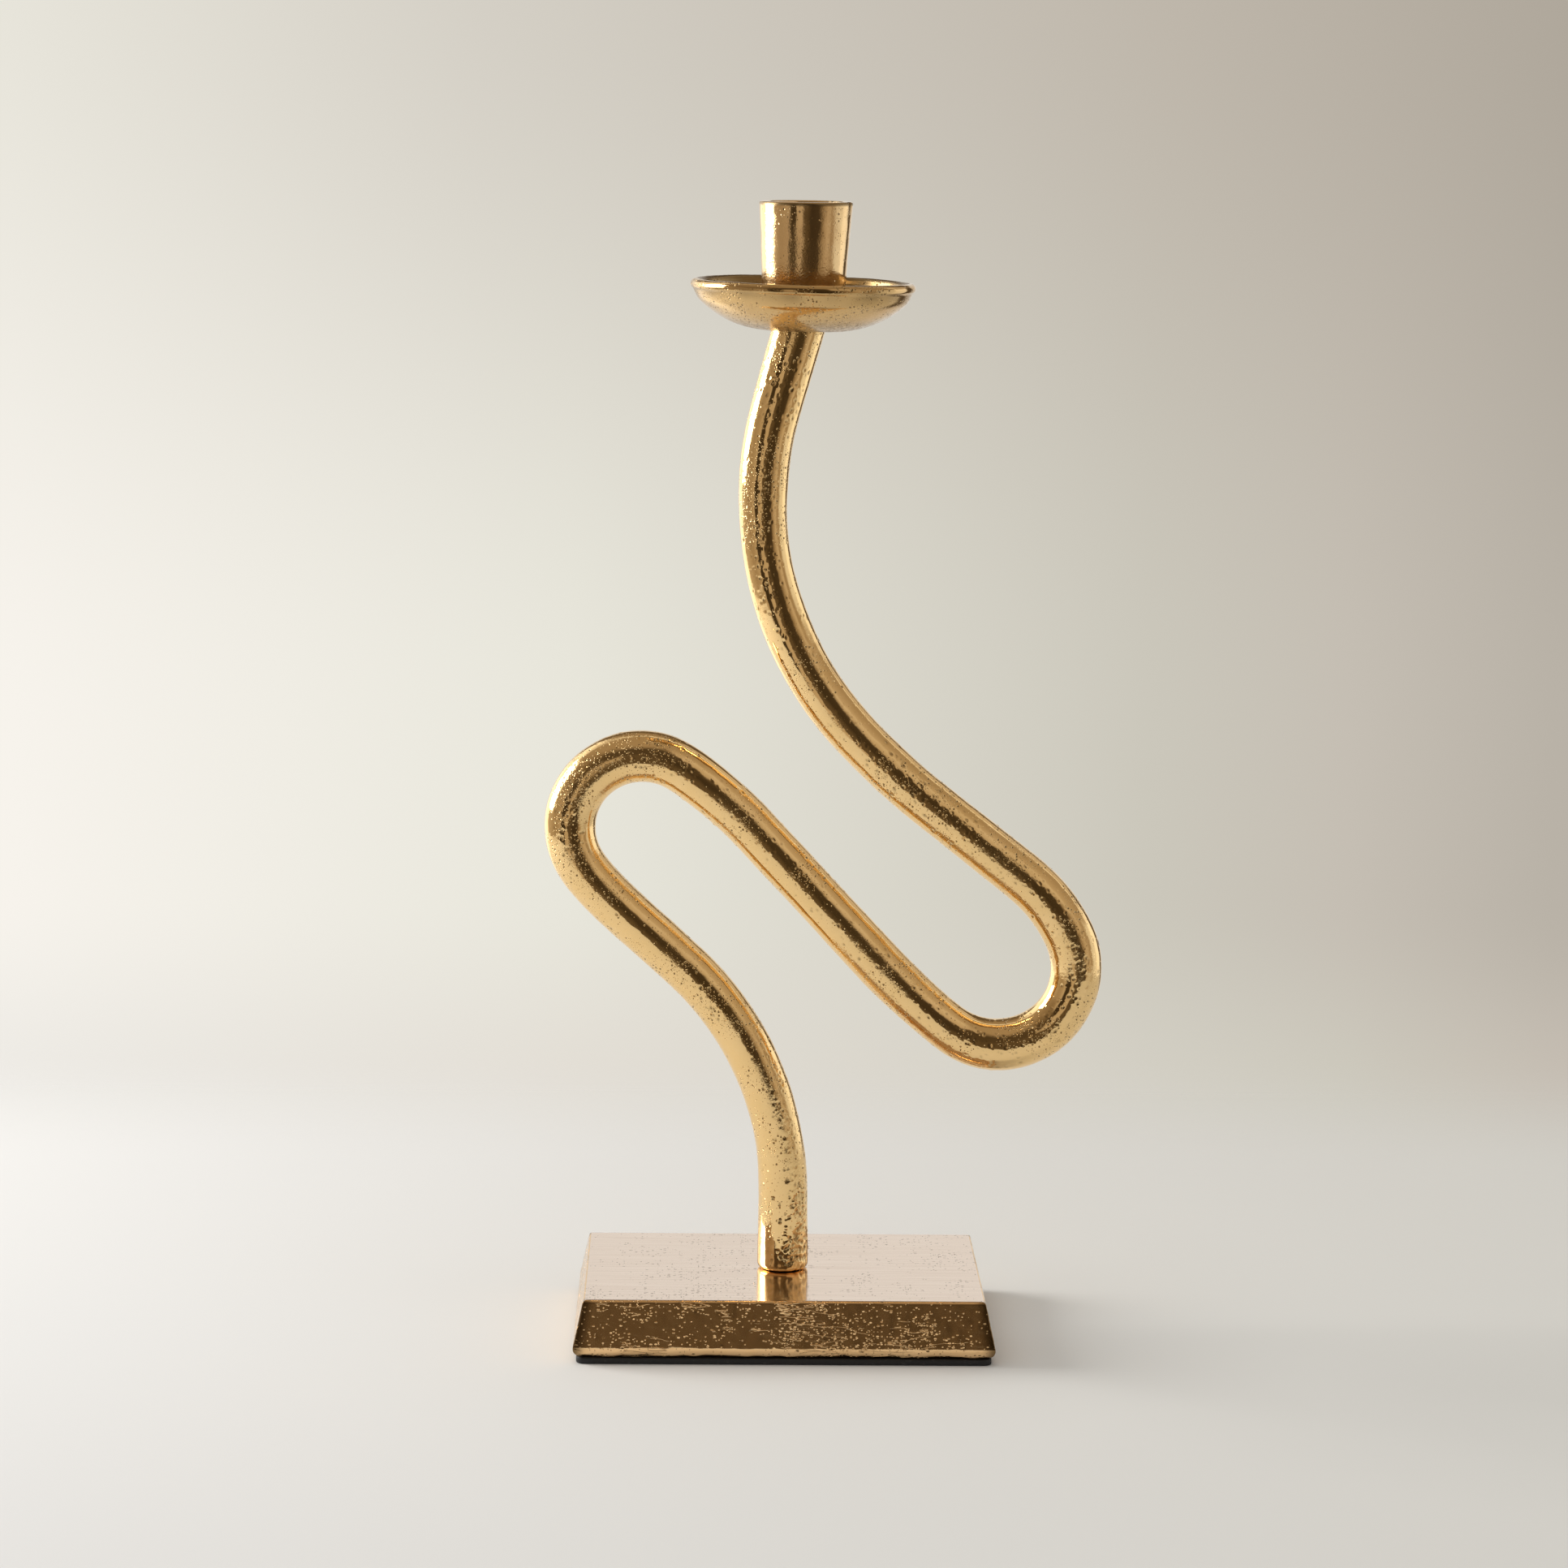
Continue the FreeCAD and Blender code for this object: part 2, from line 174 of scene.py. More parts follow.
castBrass = {
    "bright": (0.99, 0.71, 0.36, 1),
    "deep": (0.90, 0.615, 0.265, 1),
    "patina": (0.10, 0.065, 0.026, 1),
    "toneSize": 9 * mm,
    "polished": 0.07,       # roughness of the rubbed skin
    "grainy": 0.14,         # roughness where the sand skin is left
    "skinSize": 21 * mm,
    "skinRange": (0.46, 0.60),
    "pitSize": 1.15 * mm,
    "pitDepth": 0.16 * mm,
    "pitShare": 0.5,        # how many pits there are in a cluster
    "clusterSize": 17 * mm,
    "clusterFrom": 0.46,
    "clusterFade": 0.16,
    "speckSize": 0.45,      # specks beside the pits, as a share of their size
    "speckShare": 0.45,
    "speckDark": 0.7,
    "hollowDark": 0.75,     # the marks that the mesh itself carries: pits, a nick, and painted shade on the pan and cup
    "markDark": 0.8,        # how far pits, grime and painted shade take the colour to the patina
    "markRough": 0.24,
    "grainSize": 0.65 * mm,
    "grainDepth": 0.045 * mm,
    "grainStrength": (0.12, 1),     # on polished and on grainy skin
    "facetSize": 0.55 * mm,
    "facetShare": (0.10, 0.32),     # on polished and on grainy skin
    "facetLean": 0.42,
    "grimeShadeFrom": -1.0,      # heights over which the brass darkens towards the joint below: partly real dull skin, partly painted shade at the joint
    "grimeShadeTo": -0.9,
    "grimeShadeAmount": 0.8,
    "grimeShadeSpots": 1.4 * mm,
    "grimeShadeRange": (0.30, 0.62, 0.3, 1.0),
}


def makeCastBrass(name, changes=None):
    look = dict(castBrass, **(changes or {}))
    material, tree, shader, place = newMaterial(name)
    skin = stretch(tree, clouds(tree, place, look["skinSize"], 3), *look["skinRange"])
    cluster = stretch(tree, clouds(tree, place, look["clusterSize"], 2), look["clusterFrom"],
                      look["clusterFrom"] + look["clusterFade"])
    pits = pitMask(tree, place, look["pitSize"], times(tree, cluster, look["pitShare"]))
    specks = pitMask(tree, place, look["pitSize"] * look["speckSize"],
                     times(tree, cluster, look["speckShare"]))
    marks = most(tree, pits, times(tree, specks, look["speckDark"]))
    hollows = addNode(tree, "ShaderNodeAttribute", {"attribute_name": "pitsAndShade"}).outputs["Fac"]
    height = addNode(tree, "ShaderNodeSeparateXYZ", None, {0: place}).outputs[2]
    # real grime and painted shade near the joint, in patches
    spots = stretch(tree, clouds(tree, place, look["grimeShadeSpots"], 3, 0.6), *look["grimeShadeRange"])
    grimeAndShade = times(tree, stretch(tree, height, look["grimeShadeFrom"], look["grimeShadeTo"], 1, 0), spots)
    grimeAndShade = times(tree, grimeAndShade, look["grimeShadeAmount"])
    dark = most(tree, most(tree, marks, times(tree, hollows, look["hollowDark"])), grimeAndShade)

    tone = mixColour(tree, clouds(tree, place, look["toneSize"], 4, 0.6), look["bright"], look["deep"])
    colour = mixColour(tree, times(tree, dark, look["markDark"]), tone, look["patina"])
    rough = stretch(tree, skin, 0, 1, look["polished"], look["grainy"], False)
    rough = calculate(tree, "ADD", rough, times(tree, dark, look["markRough"]))

    facets = leanGrains(tree, place, look["facetSize"], stretch(tree, skin, 0, 1, *look["facetShare"]),
                        look["facetLean"])
    grain = raised(tree, clouds(tree, place, look["grainSize"], 2, 0.6), look["grainDepth"],
                   stretch(tree, skin, 0, 1, *look["grainStrength"], False), facets)
    dips = raised(tree, marks, look["pitDepth"], 1.0, grain, True)
    connectShader(tree, shader, colour, rough, dips)
    return material


plateLow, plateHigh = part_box("base_plate")
basePlate = {
    "leanIn": 2.9 * mm,
    "cornerRadius": 0.45 * mm,
    "leastCorner": 0.25 * mm,
    "topEdge": 1.1 * mm,
    "topInset": 1.6 * mm,       # the brushed top is flat from here inwards
    "topCorner": 0.9 * mm,
    "brushedBand": 0.2 * mm,    # faces this far below the top are brushed too
    "underRadius": 2.9 * mm,
    "underInset": 3.6 * mm,
    "underCorner": 1.5 * mm,
    "recessRadius": 9.0 * mm,
    "recessDepth": 8.0 * mm,
    "holeRadius": 3.3 * mm,
    "spacing": 0.45 * mm,       # of the points along the sides
    "dents": 0.06 * mm,
    "dentSize": 3.2 * mm,
    "smallDents": 0.4,          # as a share of the dents
    "smallDentSize": 1.3 * mm,
    "ridges": 0.07 * mm,        # long ridges left by the sand
    "ridgeSize": 1.2 * mm,
    "ridgeSquash": 0.2,
    "ridgePatches": 32 * mm,
    "ridgeContrast": 2.2,
    "edgeWaves": 0.6 * mm,
    "edgeWaveSize": 18 * mm,
    "edgeNicks": 0.8,           # as a share of the waves
    "edgeNickSize": 5 * mm,
    "edgeWavesUp": 5 * mm,      # the waves end this far above the lower edge
}


castSide = {
    "bright": (0.95, 0.66, 0.36, 1),
    "deep": (0.84, 0.54, 0.26, 1),
    "patina": (0.14, 0.085, 0.035, 1),
    "toneSize": 8 * mm,
    "roughness": (0.11, 0.19),      # of the face and of its raised grains
    "sandSize": 17 * mm,            # patches that have kept more of the sand's grain
    "grainWidth": 1.35 * mm,
    "grainHeight": 0.75 * mm,
    "grainRise": 0.17 * mm,
    "grainShare": (0.40, 0.66, 0.03, 0.40),
    "fineGrain": 0.80 * mm,
    "fineShare": (0.36, 0.66, 0.08, 0.55),
    "fineRise": 0.6,                # as a share of the grains' rise
    "facetSize": 0.65 * mm,
    "facetShare": (0.42, 0.64, 0.03, 0.26),
    "facetLean": 0.60,
    "facetDown": 0.25,
    "lineWidth": 15 * mm,
    "lineHeight": 2.2 * mm,
    "lineThin": (0.004, 0.022),
    "linePatches": 16 * mm,
    "lineRange": (0.50, 0.60),
    "lineRise": 0.9,
    "hollowSize": 1.1 * mm,
    "hollowShare": (0.50, 0.70, 0.05, 0.5),
    "hollowDepth": 0.15 * mm,
    "hollowBump": 0.8,
    "hollowDark": 0.8,
    # painted shade at the plate's corners
    "cornerShade": 2.4 * mm,
    "cornerFade": 1.8,
    "cornerDark": 0.9,
}


def cornerShadeMask(tree, place):
    # painted shade at the plate's rounded corners; the plate's sides lean, so its corners are followed
    # up the slope
    reach = castSide["cornerShade"] * castSide["cornerFade"]
    axes = addNode(tree, "ShaderNodeSeparateXYZ", None, {0: place})
    slope = basePlate["leanIn"] / (plateHigh.z - plateLow.z)
    grown = times(tree, calculate(tree, "SUBTRACT", axes.outputs[2], plateLow.z), slope)
    masks = []
    for axis, end in ((0, plateHigh.x), (1, plateHigh.y)):
        along = calculate(tree, "ADD", calculate(tree, "ABSOLUTE", axes.outputs[axis]), grown)
        masks.append(stretch(tree, along, end - reach, end))
    return times(tree, *masks)


def makeSideBrass(name):
    look = castSide
    material, tree, shader, place = newMaterial(name)
    squeeze = look["grainHeight"] / look["grainWidth"]
    flat = rescaled(tree, place, (squeeze, squeeze, 1))
    squeeze = look["lineHeight"] / look["lineWidth"]
    long = rescaled(tree, place, (squeeze, squeeze, 1))
    sand = clouds(tree, place, look["sandSize"], 3, 0.6)
    coarse = pitMask(tree, flat, look["grainHeight"], stretch(tree, sand, *look["grainShare"]))
    fine = pitMask(tree, place, look["fineGrain"], stretch(tree, sand, *look["fineShare"]))
    drift = calculate(tree, "SUBTRACT", clouds(tree, long, look["lineHeight"], 2), 0.5)
    lines = times(tree, stretch(tree, calculate(tree, "ABSOLUTE", drift), *look["lineThin"], 1, 0),
                  stretch(tree, clouds(tree, place, look["linePatches"]), *look["lineRange"]))
    grains = most(tree, coarse, times(tree, fine, look["fineRise"]))
    grains = most(tree, grains, times(tree, lines, look["lineRise"]))
    hollows = pitMask(tree, flat, look["hollowSize"], stretch(tree, sand, *look["hollowShare"]))

    tone = mixColour(tree, clouds(tree, place, look["toneSize"], 4, 0.6), look["bright"], look["deep"])
    # real sand hollows, and painted shade at the corners
    grimeAndShade = most(tree, times(tree, hollows, look["hollowDark"]),
                 times(tree, cornerShadeMask(tree, place), look["cornerDark"]))
    colour = mixColour(tree, grimeAndShade, tone, look["patina"])
    rough = stretch(tree, grains, 0, 1, *look["roughness"], False)

    facets = leanGrains(tree, flat, look["facetSize"], stretch(tree, sand, *look["facetShare"]),
                        look["facetLean"], look["facetDown"])
    ridges = raised(tree, grains, look["grainRise"], 1.0, facets)
    dips = raised(tree, hollows, look["hollowDepth"], look["hollowBump"], ridges, True)
    connectShader(tree, shader, colour, rough, dips)
    return material


brushedTop = {
    "bright": (0.96, 0.80, 0.67, 1),
    "deep": (0.90, 0.73, 0.60, 1),
    "speck": (0.16, 0.11, 0.075, 1),
    "roughness": (0.10, 0.15),
    "roughRange": (0.3, 0.7),
    "toneRange": (0.35, 0.75),
    "brushLength": 12 * mm,
    "brushWidth": 0.30 * mm,
    "brushDepth": 0.003 * mm,
    "brushBump": 0.2,
    "streakWidth": 2.6,         # broader streaks of tone, in widths of a brush mark
    "wearSize": 14 * mm,
    "speckSize": 0.62 * mm,
    "speckSquash": 0.35,
    "speckShare": (0.42, 0.66, 0.0, 0.36),
    "dotSize": 0.75 * mm,
    "dotShare": (0.40, 0.68, 0.02, 0.28),
    "markDark": 0.8,
    "markDepth": 0.06 * mm,
    "markBump": 0.6,
}


def makeBrushedTop(name):
    look = brushedTop
    material, tree, shader, place = newMaterial(name)
    along = rescaled(tree, place, (look["brushWidth"] / look["brushLength"], 1, 1))
    brush = clouds(tree, along, look["brushWidth"], 3, 0.6)
    streaks = clouds(tree, along, look["brushWidth"] * look["streakWidth"], 3, 0.6)
    wear = clouds(tree, place, look["wearSize"], 3, 0.6)
    short = rescaled(tree, place, (look["speckSquash"], 1, 1))
    specks = pitMask(tree, short, look["speckSize"], stretch(tree, wear, *look["speckShare"]))
    dots = pitMask(tree, place, look["dotSize"], stretch(tree, wear, *look["dotShare"]))
    marks = most(tree, times(tree, specks, look["markDark"]), dots)
    tone = mixColour(tree, stretch(tree, streaks, *look["toneRange"]), look["bright"], look["deep"])
    colour = mixColour(tree, times(tree, marks, look["markDark"]), tone, look["speck"])
    rough = stretch(tree, streaks, *look["roughRange"], *look["roughness"])
    brushed = raised(tree, brush, look["brushDepth"], look["brushBump"])
    dips = raised(tree, marks, look["markDepth"], look["markBump"], brushed, True)
    connectShader(tree, shader, colour, rough, dips)
    return material


platedSteel = {
    "colour": (0.60, 0.60, 0.62, 1),
    "dull": (0.44, 0.44, 0.45, 1),
    "toneSize": 2.2 * mm,
    "roughness": (0.32, 0.5),
    "wearSize": 0.8 * mm,
    "wearRange": (0.3, 0.7),
    "grainSize": 0.3 * mm,
    "grainDepth": 0.02 * mm,
    "grainBump": 0.3,
}


def makePlatedSteel(name):
    look = platedSteel
    material, tree, shader, place = newMaterial(name)
    tone = mixColour(tree, clouds(tree, place, look["toneSize"], 4), look["colour"], look["dull"])
    wear = clouds(tree, place, look["wearSize"])
    rough = stretch(tree, wear, *look["wearRange"], *look["roughness"])
    grain = raised(tree, clouds(tree, place, look["grainSize"]), look["grainDepth"], look["grainBump"])
    connectShader(tree, shader, tone, rough, grain)
    return material


padRubber = {
    "colour": (0.012, 0.012, 0.013, 1),
    "dust": (0.06, 0.058, 0.055, 1),
    "dustSize": 1.1 * mm,
    "dustRange": (0.56, 0.74),
    "roughness": (0.62, 0.9),       # clean and dusty
    "grainSize": 0.35 * mm,
    "grainDepth": 0.05 * mm,
    "grainBump": 0.5,
}


def makePadRubber(name):
    look = padRubber
    material, tree, shader, place = newMaterial(name)
    dust = stretch(tree, clouds(tree, place, look["dustSize"], 4, 0.7), *look["dustRange"])
    colour = mixColour(tree, dust, look["colour"], look["dust"])
    rough = stretch(tree, dust, 0, 1, *look["roughness"])
    grain = clouds(tree, place, look["grainSize"], 3)
    dips = raised(tree, grain, look["grainDepth"], look["grainBump"])
    connectShader(tree, shader, colour, rough, dips, 0.0)
    return material


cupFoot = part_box("candle_cup")[0].z
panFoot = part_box("drip_pan")[0].z
panFinish = {       # where the pan's brass differs from the stem's
    "bright": (0.75, 0.515, 0.245, 1),
    "deep": (0.62, 0.40, 0.165, 1),
    "polished": 0.085,
    "grainy": 0.14,
    "pitShare": 0.65,
    "clusterSize": 11 * mm,
    "clusterFrom": 0.42,
    "grainDepth": 0.045 * mm,
    "grimeShadeFrom": panFoot + 0.5 * mm,
    "grimeShadeTo": panFoot + 6 * mm,
    "grimeShadeAmount": 0.85,
}
cupFinish = {       # and the cup's
    "bright": (0.92, 0.67, 0.36, 1),
    "deep": (0.80, 0.54, 0.26, 1),
    "polished": 0.09,
    "grainy": 0.16,
    "pitShare": 0.30,
    "clusterFrom": 0.52,
    "grainSize": 0.6 * mm,
    "grainDepth": 0.06 * mm,
    "facetShare": (0.10, 0.16),
    "facetLean": 0.30,
    "grimeShadeFrom": cupFoot + 5 * mm,
    "grimeShadeTo": cupFoot + 15 * mm,
    "grimeShadeAmount": 0.75,
}
stemBrass = makeCastBrass("stemBrass")
panBrass = makeCastBrass("panBrass", panFinish)
cupBrass = makeCastBrass("cupBrass", cupFinish)
sideBrass = makeSideBrass("sideBrass")
topBrass = makeBrushedTop("topBrass")
steel = makePlatedSteel("platedSteel")
rubber = makePadRubber("padRubber")
print("Finishes made:", len(bpy.data.materials))


# Meshes are skinned over rings of points

def skinRings(name, rings, joinEnds, materials, sharpDeg=40):
    around = len(rings[0])
    points = [point for ring in rings for point in ring]
    faces = []
    for row in range(len(rings) if joinEnds else len(rings) - 1):
        here = row * around
        there = (row + 1) % len(rings) * around
        for i in range(around):
            j = (i + 1) % around
            faces.append((here + i, here + j, there + j, there + i))
    if not joinEnds:
        last = len(rings) - 1
        faces.append(tuple(range(around))[::-1])
        faces.append(tuple(last * around + i for i in range(around)))
    mesh = bpy.data.meshes.new(name)
    mesh.from_pydata(points, [], faces)
    shape = bmesh.new()
    shape.from_mesh(mesh)
    bmesh.ops.recalc_face_normals(shape, faces=shape.faces)
    shape.to_mesh(mesh)
    shape.free()
    mesh.shade_smooth()
    mesh.set_sharp_from_angle(angle=math.radians(sharpDeg))
    for material in materials:
        mesh.materials.append(material)
    piece = bpy.data.objects.new(name, mesh)
    scene.collection.objects.link(piece)
    return piece


def finishPiece(piece, node):
    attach(piece, "root")
    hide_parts(node)
    print(piece.name, "has", len(piece.data.vertices), "points")


def markPitsAndShade(piece, darkAt):
    # the brass reads this mark of pits and painted shade: 0 is clean, 1 or more is dark
    marks = piece.data.attributes.new("pitsAndShade", "FLOAT", "POINT")
    for vertex, mark in zip(piece.data.vertices, marks.data):
        mark.value = darkAt(vertex)


def wander(point, reach, amount, seed=0.0):
    return amount * noise.noise(Vector(point) / reach + Vector((seed, 0.37 * seed, -seed)))


def eased(share):
    return share * share * (3 - 2 * share)


def arcPoints(centre, radius, fromDeg, toDeg, steps):
    made = []
    for step in range(steps + 1):
        turn = math.radians(fromDeg + (toDeg - fromDeg) * step / steps)
        made.append((centre[0] + radius * math.cos(turn), centre[1] + radius * math.sin(turn)))
    return made


def linePoints(start, end, spacing):
    steps = max(1, round(math.dist(start, end) / spacing))
    alongX, alongY = end[0] - start[0], end[1] - start[1]
    return [(start[0] + alongX * step / steps, start[1] + alongY * step / steps)
            for step in range(1, steps)]


# Base plate: a slab with leaning sides, a rounded lower edge and a brushed top

def ridgeShare(x, y):
    patch = Vector((0.3, 2.0, 0))       # any other part of the noise would do
    place = Vector((x, y, 0)) / basePlate["ridgePatches"] + patch
    return max(0.0, min(1.0, 0.5 + basePlate["ridgeContrast"] * noise.noise(place)))


def slabRing(halfLength, halfDepth, radius, z, counts):
    lengthSteps, depthSteps, cornerSteps = counts
    ring = []
    corners = [(1, -1, -90), (1, 1, 0), (-1, 1, 90), (-1, -1, 180)]
    sideSteps = [depthSteps, lengthSteps, depthSteps, lengthSteps]
    ends = []
    for signX, signY, fromDeg in corners:
        centre = (signX * (halfLength - radius), signY * (halfDepth - radius))
        ends.append(arcPoints(centre, radius, fromDeg, fromDeg + 90, cornerSteps))
    for index, corner in enumerate(ends):
        following = ends[(index + 1) % 4][0]
        ring += corner
        for step in range(1, sideSteps[index]):
            share = step / sideSteps[index]
            ring.append((corner[-1][0] + (following[0] - corner[-1][0]) * share,
                         corner[-1][1] + (following[1] - corner[-1][1]) * share))
    return [(x, y, z) for x, y in ring]


def roundRing(like, radius, z):
    turns = [math.atan2(y, x) for x, y, _ in like]
    return [(radius * math.cos(turn), radius * math.sin(turn), z) for turn in turns]


def ringsBetween(first, second, steps):
    made = []
    for step in range(steps + 1):
        share = step / steps
        made.append([tuple(a + (b - a) * share for a, b in zip(p, q)) for p, q in zip(first, second)])
    return made


def slabProfile(size):
    thickness = plateHigh.z - plateLow.z
    slope = math.degrees(math.atan2(size["leanIn"], thickness))
    top, under = size["topEdge"], size["underRadius"]
    upper, lower = [], []
    for step in range(5):
        turn = math.radians(90 - (90 - slope) * step / 4)
        upper.append((size["leanIn"] + top * (1 - math.cos(turn)),
                      thickness - top * (1 - math.sin(turn))))
    for step in range(9):
        turn = math.radians(slope - (90 + slope) * step / 8)
        lower.append((under * (1 - math.cos(turn)), under * (1 + math.sin(turn))))
    return upper + linePoints(upper[-1], lower[0], size["spacing"]) + lower


def roughRing(ring, inner):
    # inner is 0 for the rings that join the flat faces, and 1 for all others
    size = basePlate
    halfLength, halfDepth = plateHigh.x, plateHigh.y
    squash = size["ridgeSquash"]
    made = []
    for x, y, z in ring:
        push = wander((x, y, z), size["dentSize"], size["dents"])
        push += wander((x, y, z), size["smallDentSize"], size["smallDents"] * size["dents"])
        ridge = wander((squash * x, squash * y, z), size["ridgeSize"], size["ridges"], 7.7)
        push += ridge * ridgeShare(x, y)
        push = inner * push - 0.5 * size["dents"]
        wave = wander((x, y, 0), size["edgeWaveSize"], size["edgeWaves"], 3.1)
        wave += wander((x, y, 0), size["edgeNickSize"], size["edgeNicks"] * size["edgeWaves"])
        wave *= max(0, 1 - (z - plateLow.z) / size["edgeWavesUp"])
        reach = max(abs(x) / halfLength, abs(y) / halfDepth)
        outwardX = x / halfLength if abs(x) / halfLength >= reach else 0
        outwardY = y / halfDepth if abs(y) / halfDepth >= reach else 0
        made.append((x + outwardX * push, y + outwardY * push, z + wave * inner))
    return made


def buildBasePlate():
    size = basePlate
    halfLength, halfDepth = plateHigh.x, plateHigh.y
    counts = (round(2 * halfLength / size["spacing"]), round(2 * halfDepth / size["spacing"]), 10)
    thickness = plateHigh.z - plateLow.z
    profile = slabProfile(size)
    sides = []
    for index, (inset, height) in enumerate(profile):
        share = height / thickness
        radius = size["cornerRadius"]
        if inset > size["leanIn"] * (1 - share):
            radius = max(size["leastCorner"], radius - inset + size["leanIn"] * share)
        ring = slabRing(halfLength - inset, halfDepth - inset, radius, plateLow.z + height, counts)
        sides.append(roughRing(ring, 0 if index < 2 or index > len(profile) - 3 else 1))
    topFlat = slabRing(halfLength - size["leanIn"] - size["topInset"],
                       halfDepth - size["leanIn"] - size["topInset"],
                       size["topCorner"], plateHigh.z, counts)
    topHole = roundRing(topFlat, size["holeRadius"], plateHigh.z)
    underFlat = slabRing(halfLength - size["underInset"], halfDepth - size["underInset"],
                         size["underCorner"], plateLow.z, counts)
    underHole = roundRing(underFlat, size["recessRadius"], plateLow.z)
    ceiling = plateLow.z + size["recessDepth"]
    recess = [roundRing(underFlat, size["recessRadius"], ceiling),
              roundRing(underFlat, size["holeRadius"], ceiling)]
    rings = ringsBetween(topHole, topFlat, 6) + sides + ringsBetween(underFlat, underHole, 4) + recess
    piece = skinRings("basePlate", rings, True, [sideBrass, topBrass], 50)
    for face in piece.data.polygons:
        if face.center.z > plateHigh.z - size["brushedBand"] and face.normal.z > 0.9:
            face.material_index = 1
    finishPiece(piece, "base_plate")


buildBasePlate()


# Pad under the base

padLow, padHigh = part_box("base_pad")
basePad = {
    "cornerRadius": 2.5 * mm,
    "edgeRadius": 0.35 * mm,
    "spacing": 1.2 * mm,
    "edgeWaves": 0.12 * mm,
    "edgeWaveSize": 7 * mm,
    "flatInset": 6 * mm,        # the flat faces are closed from here inwards
    "pressedOut": 0.8 * mm,     # the weight presses the soft pad out at its edges
}


def buildBasePad():
    size = basePad
    counts = (round(2 * padHigh.x / size["spacing"]), round(2 * padHigh.y / size["spacing"]), 8)
    edge = size["edgeRadius"]
    rings = []
    lower = arcPoints((edge, padLow.z + edge), edge, 270, 180, 4)
    upper = arcPoints((edge, padHigh.z - edge), edge, 180, 90, 4)
    for inset, z in [(size["flatInset"], padLow.z)] + lower + upper + [(size["flatInset"], padHigh.z)]:
        inset -= size["pressedOut"]
        ring = slabRing(padHigh.x - inset, padHigh.y - inset, size["cornerRadius"], z, counts)
        moved = []
        for x, y, height in ring:
            push = -abs(wander((x, y, 0), size["edgeWaveSize"], size["edgeWaves"]))
            moved.append((x + math.copysign(push, x), y + math.copysign(push, y), height))
        rings.append(moved)
    piece = skinRings("basePad", rings, False, [rubber])
    finishPiece(piece, "base_pad")


buildBasePad()


# Stem: the bar's middle line is a route of runs and bends, given as shares of its height

panLow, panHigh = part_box("drip_pan")
panX = (panLow.x + panHigh.x) / 2
stemHeight = panLow.z - plateHigh.z
stem = {
    "route": [      # size as a share of the height, then the turn in degrees, left positive
        (0.0822, 0), (0.3357, 48), (0.0873, 0), (0.3391, -9), (0.0754, -163), (0.4487, -13),
        (0.1935, 0), (0.6645, 9), (0.0822, 153), (0.1713, 27), (0.1267, 0), (0.7193, -9.5),
        (0.3562, -58),
    ],
    "diameters": [      # share of the way up the bar, then the bar's diameter there in mm
        (0, 15.9), (0.04, 15.3), (0.075, 14.8), (0.13, 15.1), (0.19, 15.2), (0.24, 15.5), (0.27, 15.9),
        (0.315, 15.9), (0.345, 15.5), (0.39, 15.2), (0.44, 15.1), (0.485, 15.4), (0.525, 15.0),
        (0.562, 16.3), (0.60, 15.75), (0.64, 15.85), (0.69, 15.55), (0.74, 15.1), (0.80, 15.1),
        (0.85, 15.0), (0.895, 14.55), (0.94, 15.25), (1, 15.8),
    ],
    "spacing": 0.38 * mm,
    "around": 132,
    "softness": 7 * mm,         # runs and bends flow into each other over this length
    "overrun": 60 * mm,         # the last run goes on until it meets the pan
    "footEdge": 1.8 * mm,
    "levelling": 9 * mm,        # rings turn level over this length below the pan
    "broadWaves": 0.13 * mm,
    "broadSize": 13 * mm,
    "fineWaves": 0.03 * mm,
    "fineSize": 2.6 * mm,
    "pitSeed": 11,
    "pitRadius": (0.34, 0.72),  # in mm, times how big the cluster's pits are
    "pitSteep": (0.22, 0.42),   # depth as a share of the radius
    "pitLong": (0.8, 1.7),      # how far pits are drawn out along the bar
    "sunkShare": 0.6,           # the others are low bumps
    "bumpRise": -0.7,
    "meanRadius": 7.7,          # of the bar, in mm
    "darkDepth": 0.20 * mm,     # pits this deep are fully dark
    "footHole": (3.1 * mm, 13.6 * mm),      # radius and depth
    "topHole": (2.6 * mm, 8.4 * mm),
    "holeTip": 0.4 * mm,
}

# Clusters of pits on the bar: share of the way up, side in degrees (0 left, 90 front, 180 right),
# length in mm, width in degrees, number of pits, and how big they are
pitClusters = [
    (0.010, 126, 8, 52, 170, 1.25), (0.038, 132, 11, 34, 120, 1.1), (0.085, 118, 18, 34, 56, 0.95),
    (0.150, 70, 10, 30, 30, 1), (0.270, 80, 16, 45, 40, 1), (0.330, 100, 12, 40, 24, 1),
    (0.620, 90, 20, 50, 40, 1), (0.750, 100, 26, 50, 50, 1), (0.870, 60, 16, 40, 30, 1),
    (0.975, 60, 14, 40, 60, 1), (0.965, 125, 12, 25, 40, 1), (0.420, 85, 55, 50, 130, 0.8),
    (0.560, 95, 40, 60, 190, 0.75), (0.700, 90, 70, 50, 320, 0.75), (0.900, 80, 45, 50, 190, 0.8),
    (0.500, 270, 330, 220, 500, 1),
]


def stemHeadings(spacing):
    headings = []
    heading = 90.0
    left = 0.0
    for share, turn in stem["route"]:
        size = share * stemHeight
        length = size if turn == 0 else size * math.radians(abs(turn))
        at = left
        while at < length:
            headings.append(heading + turn * at / length)
            at += spacing
        left = at - length
        heading += turn
    return headings, heading


def smoothed(values, reach):
    made = []
    total = [0.0]
    for value in values:
        total.append(total[-1] + value)
    last = len(values) - 1
    for i in range(len(values)):
        near = min(reach, i, last - i)
        made.append((total[i + near + 1] - total[i - near]) / (2 * near + 1))
    return made


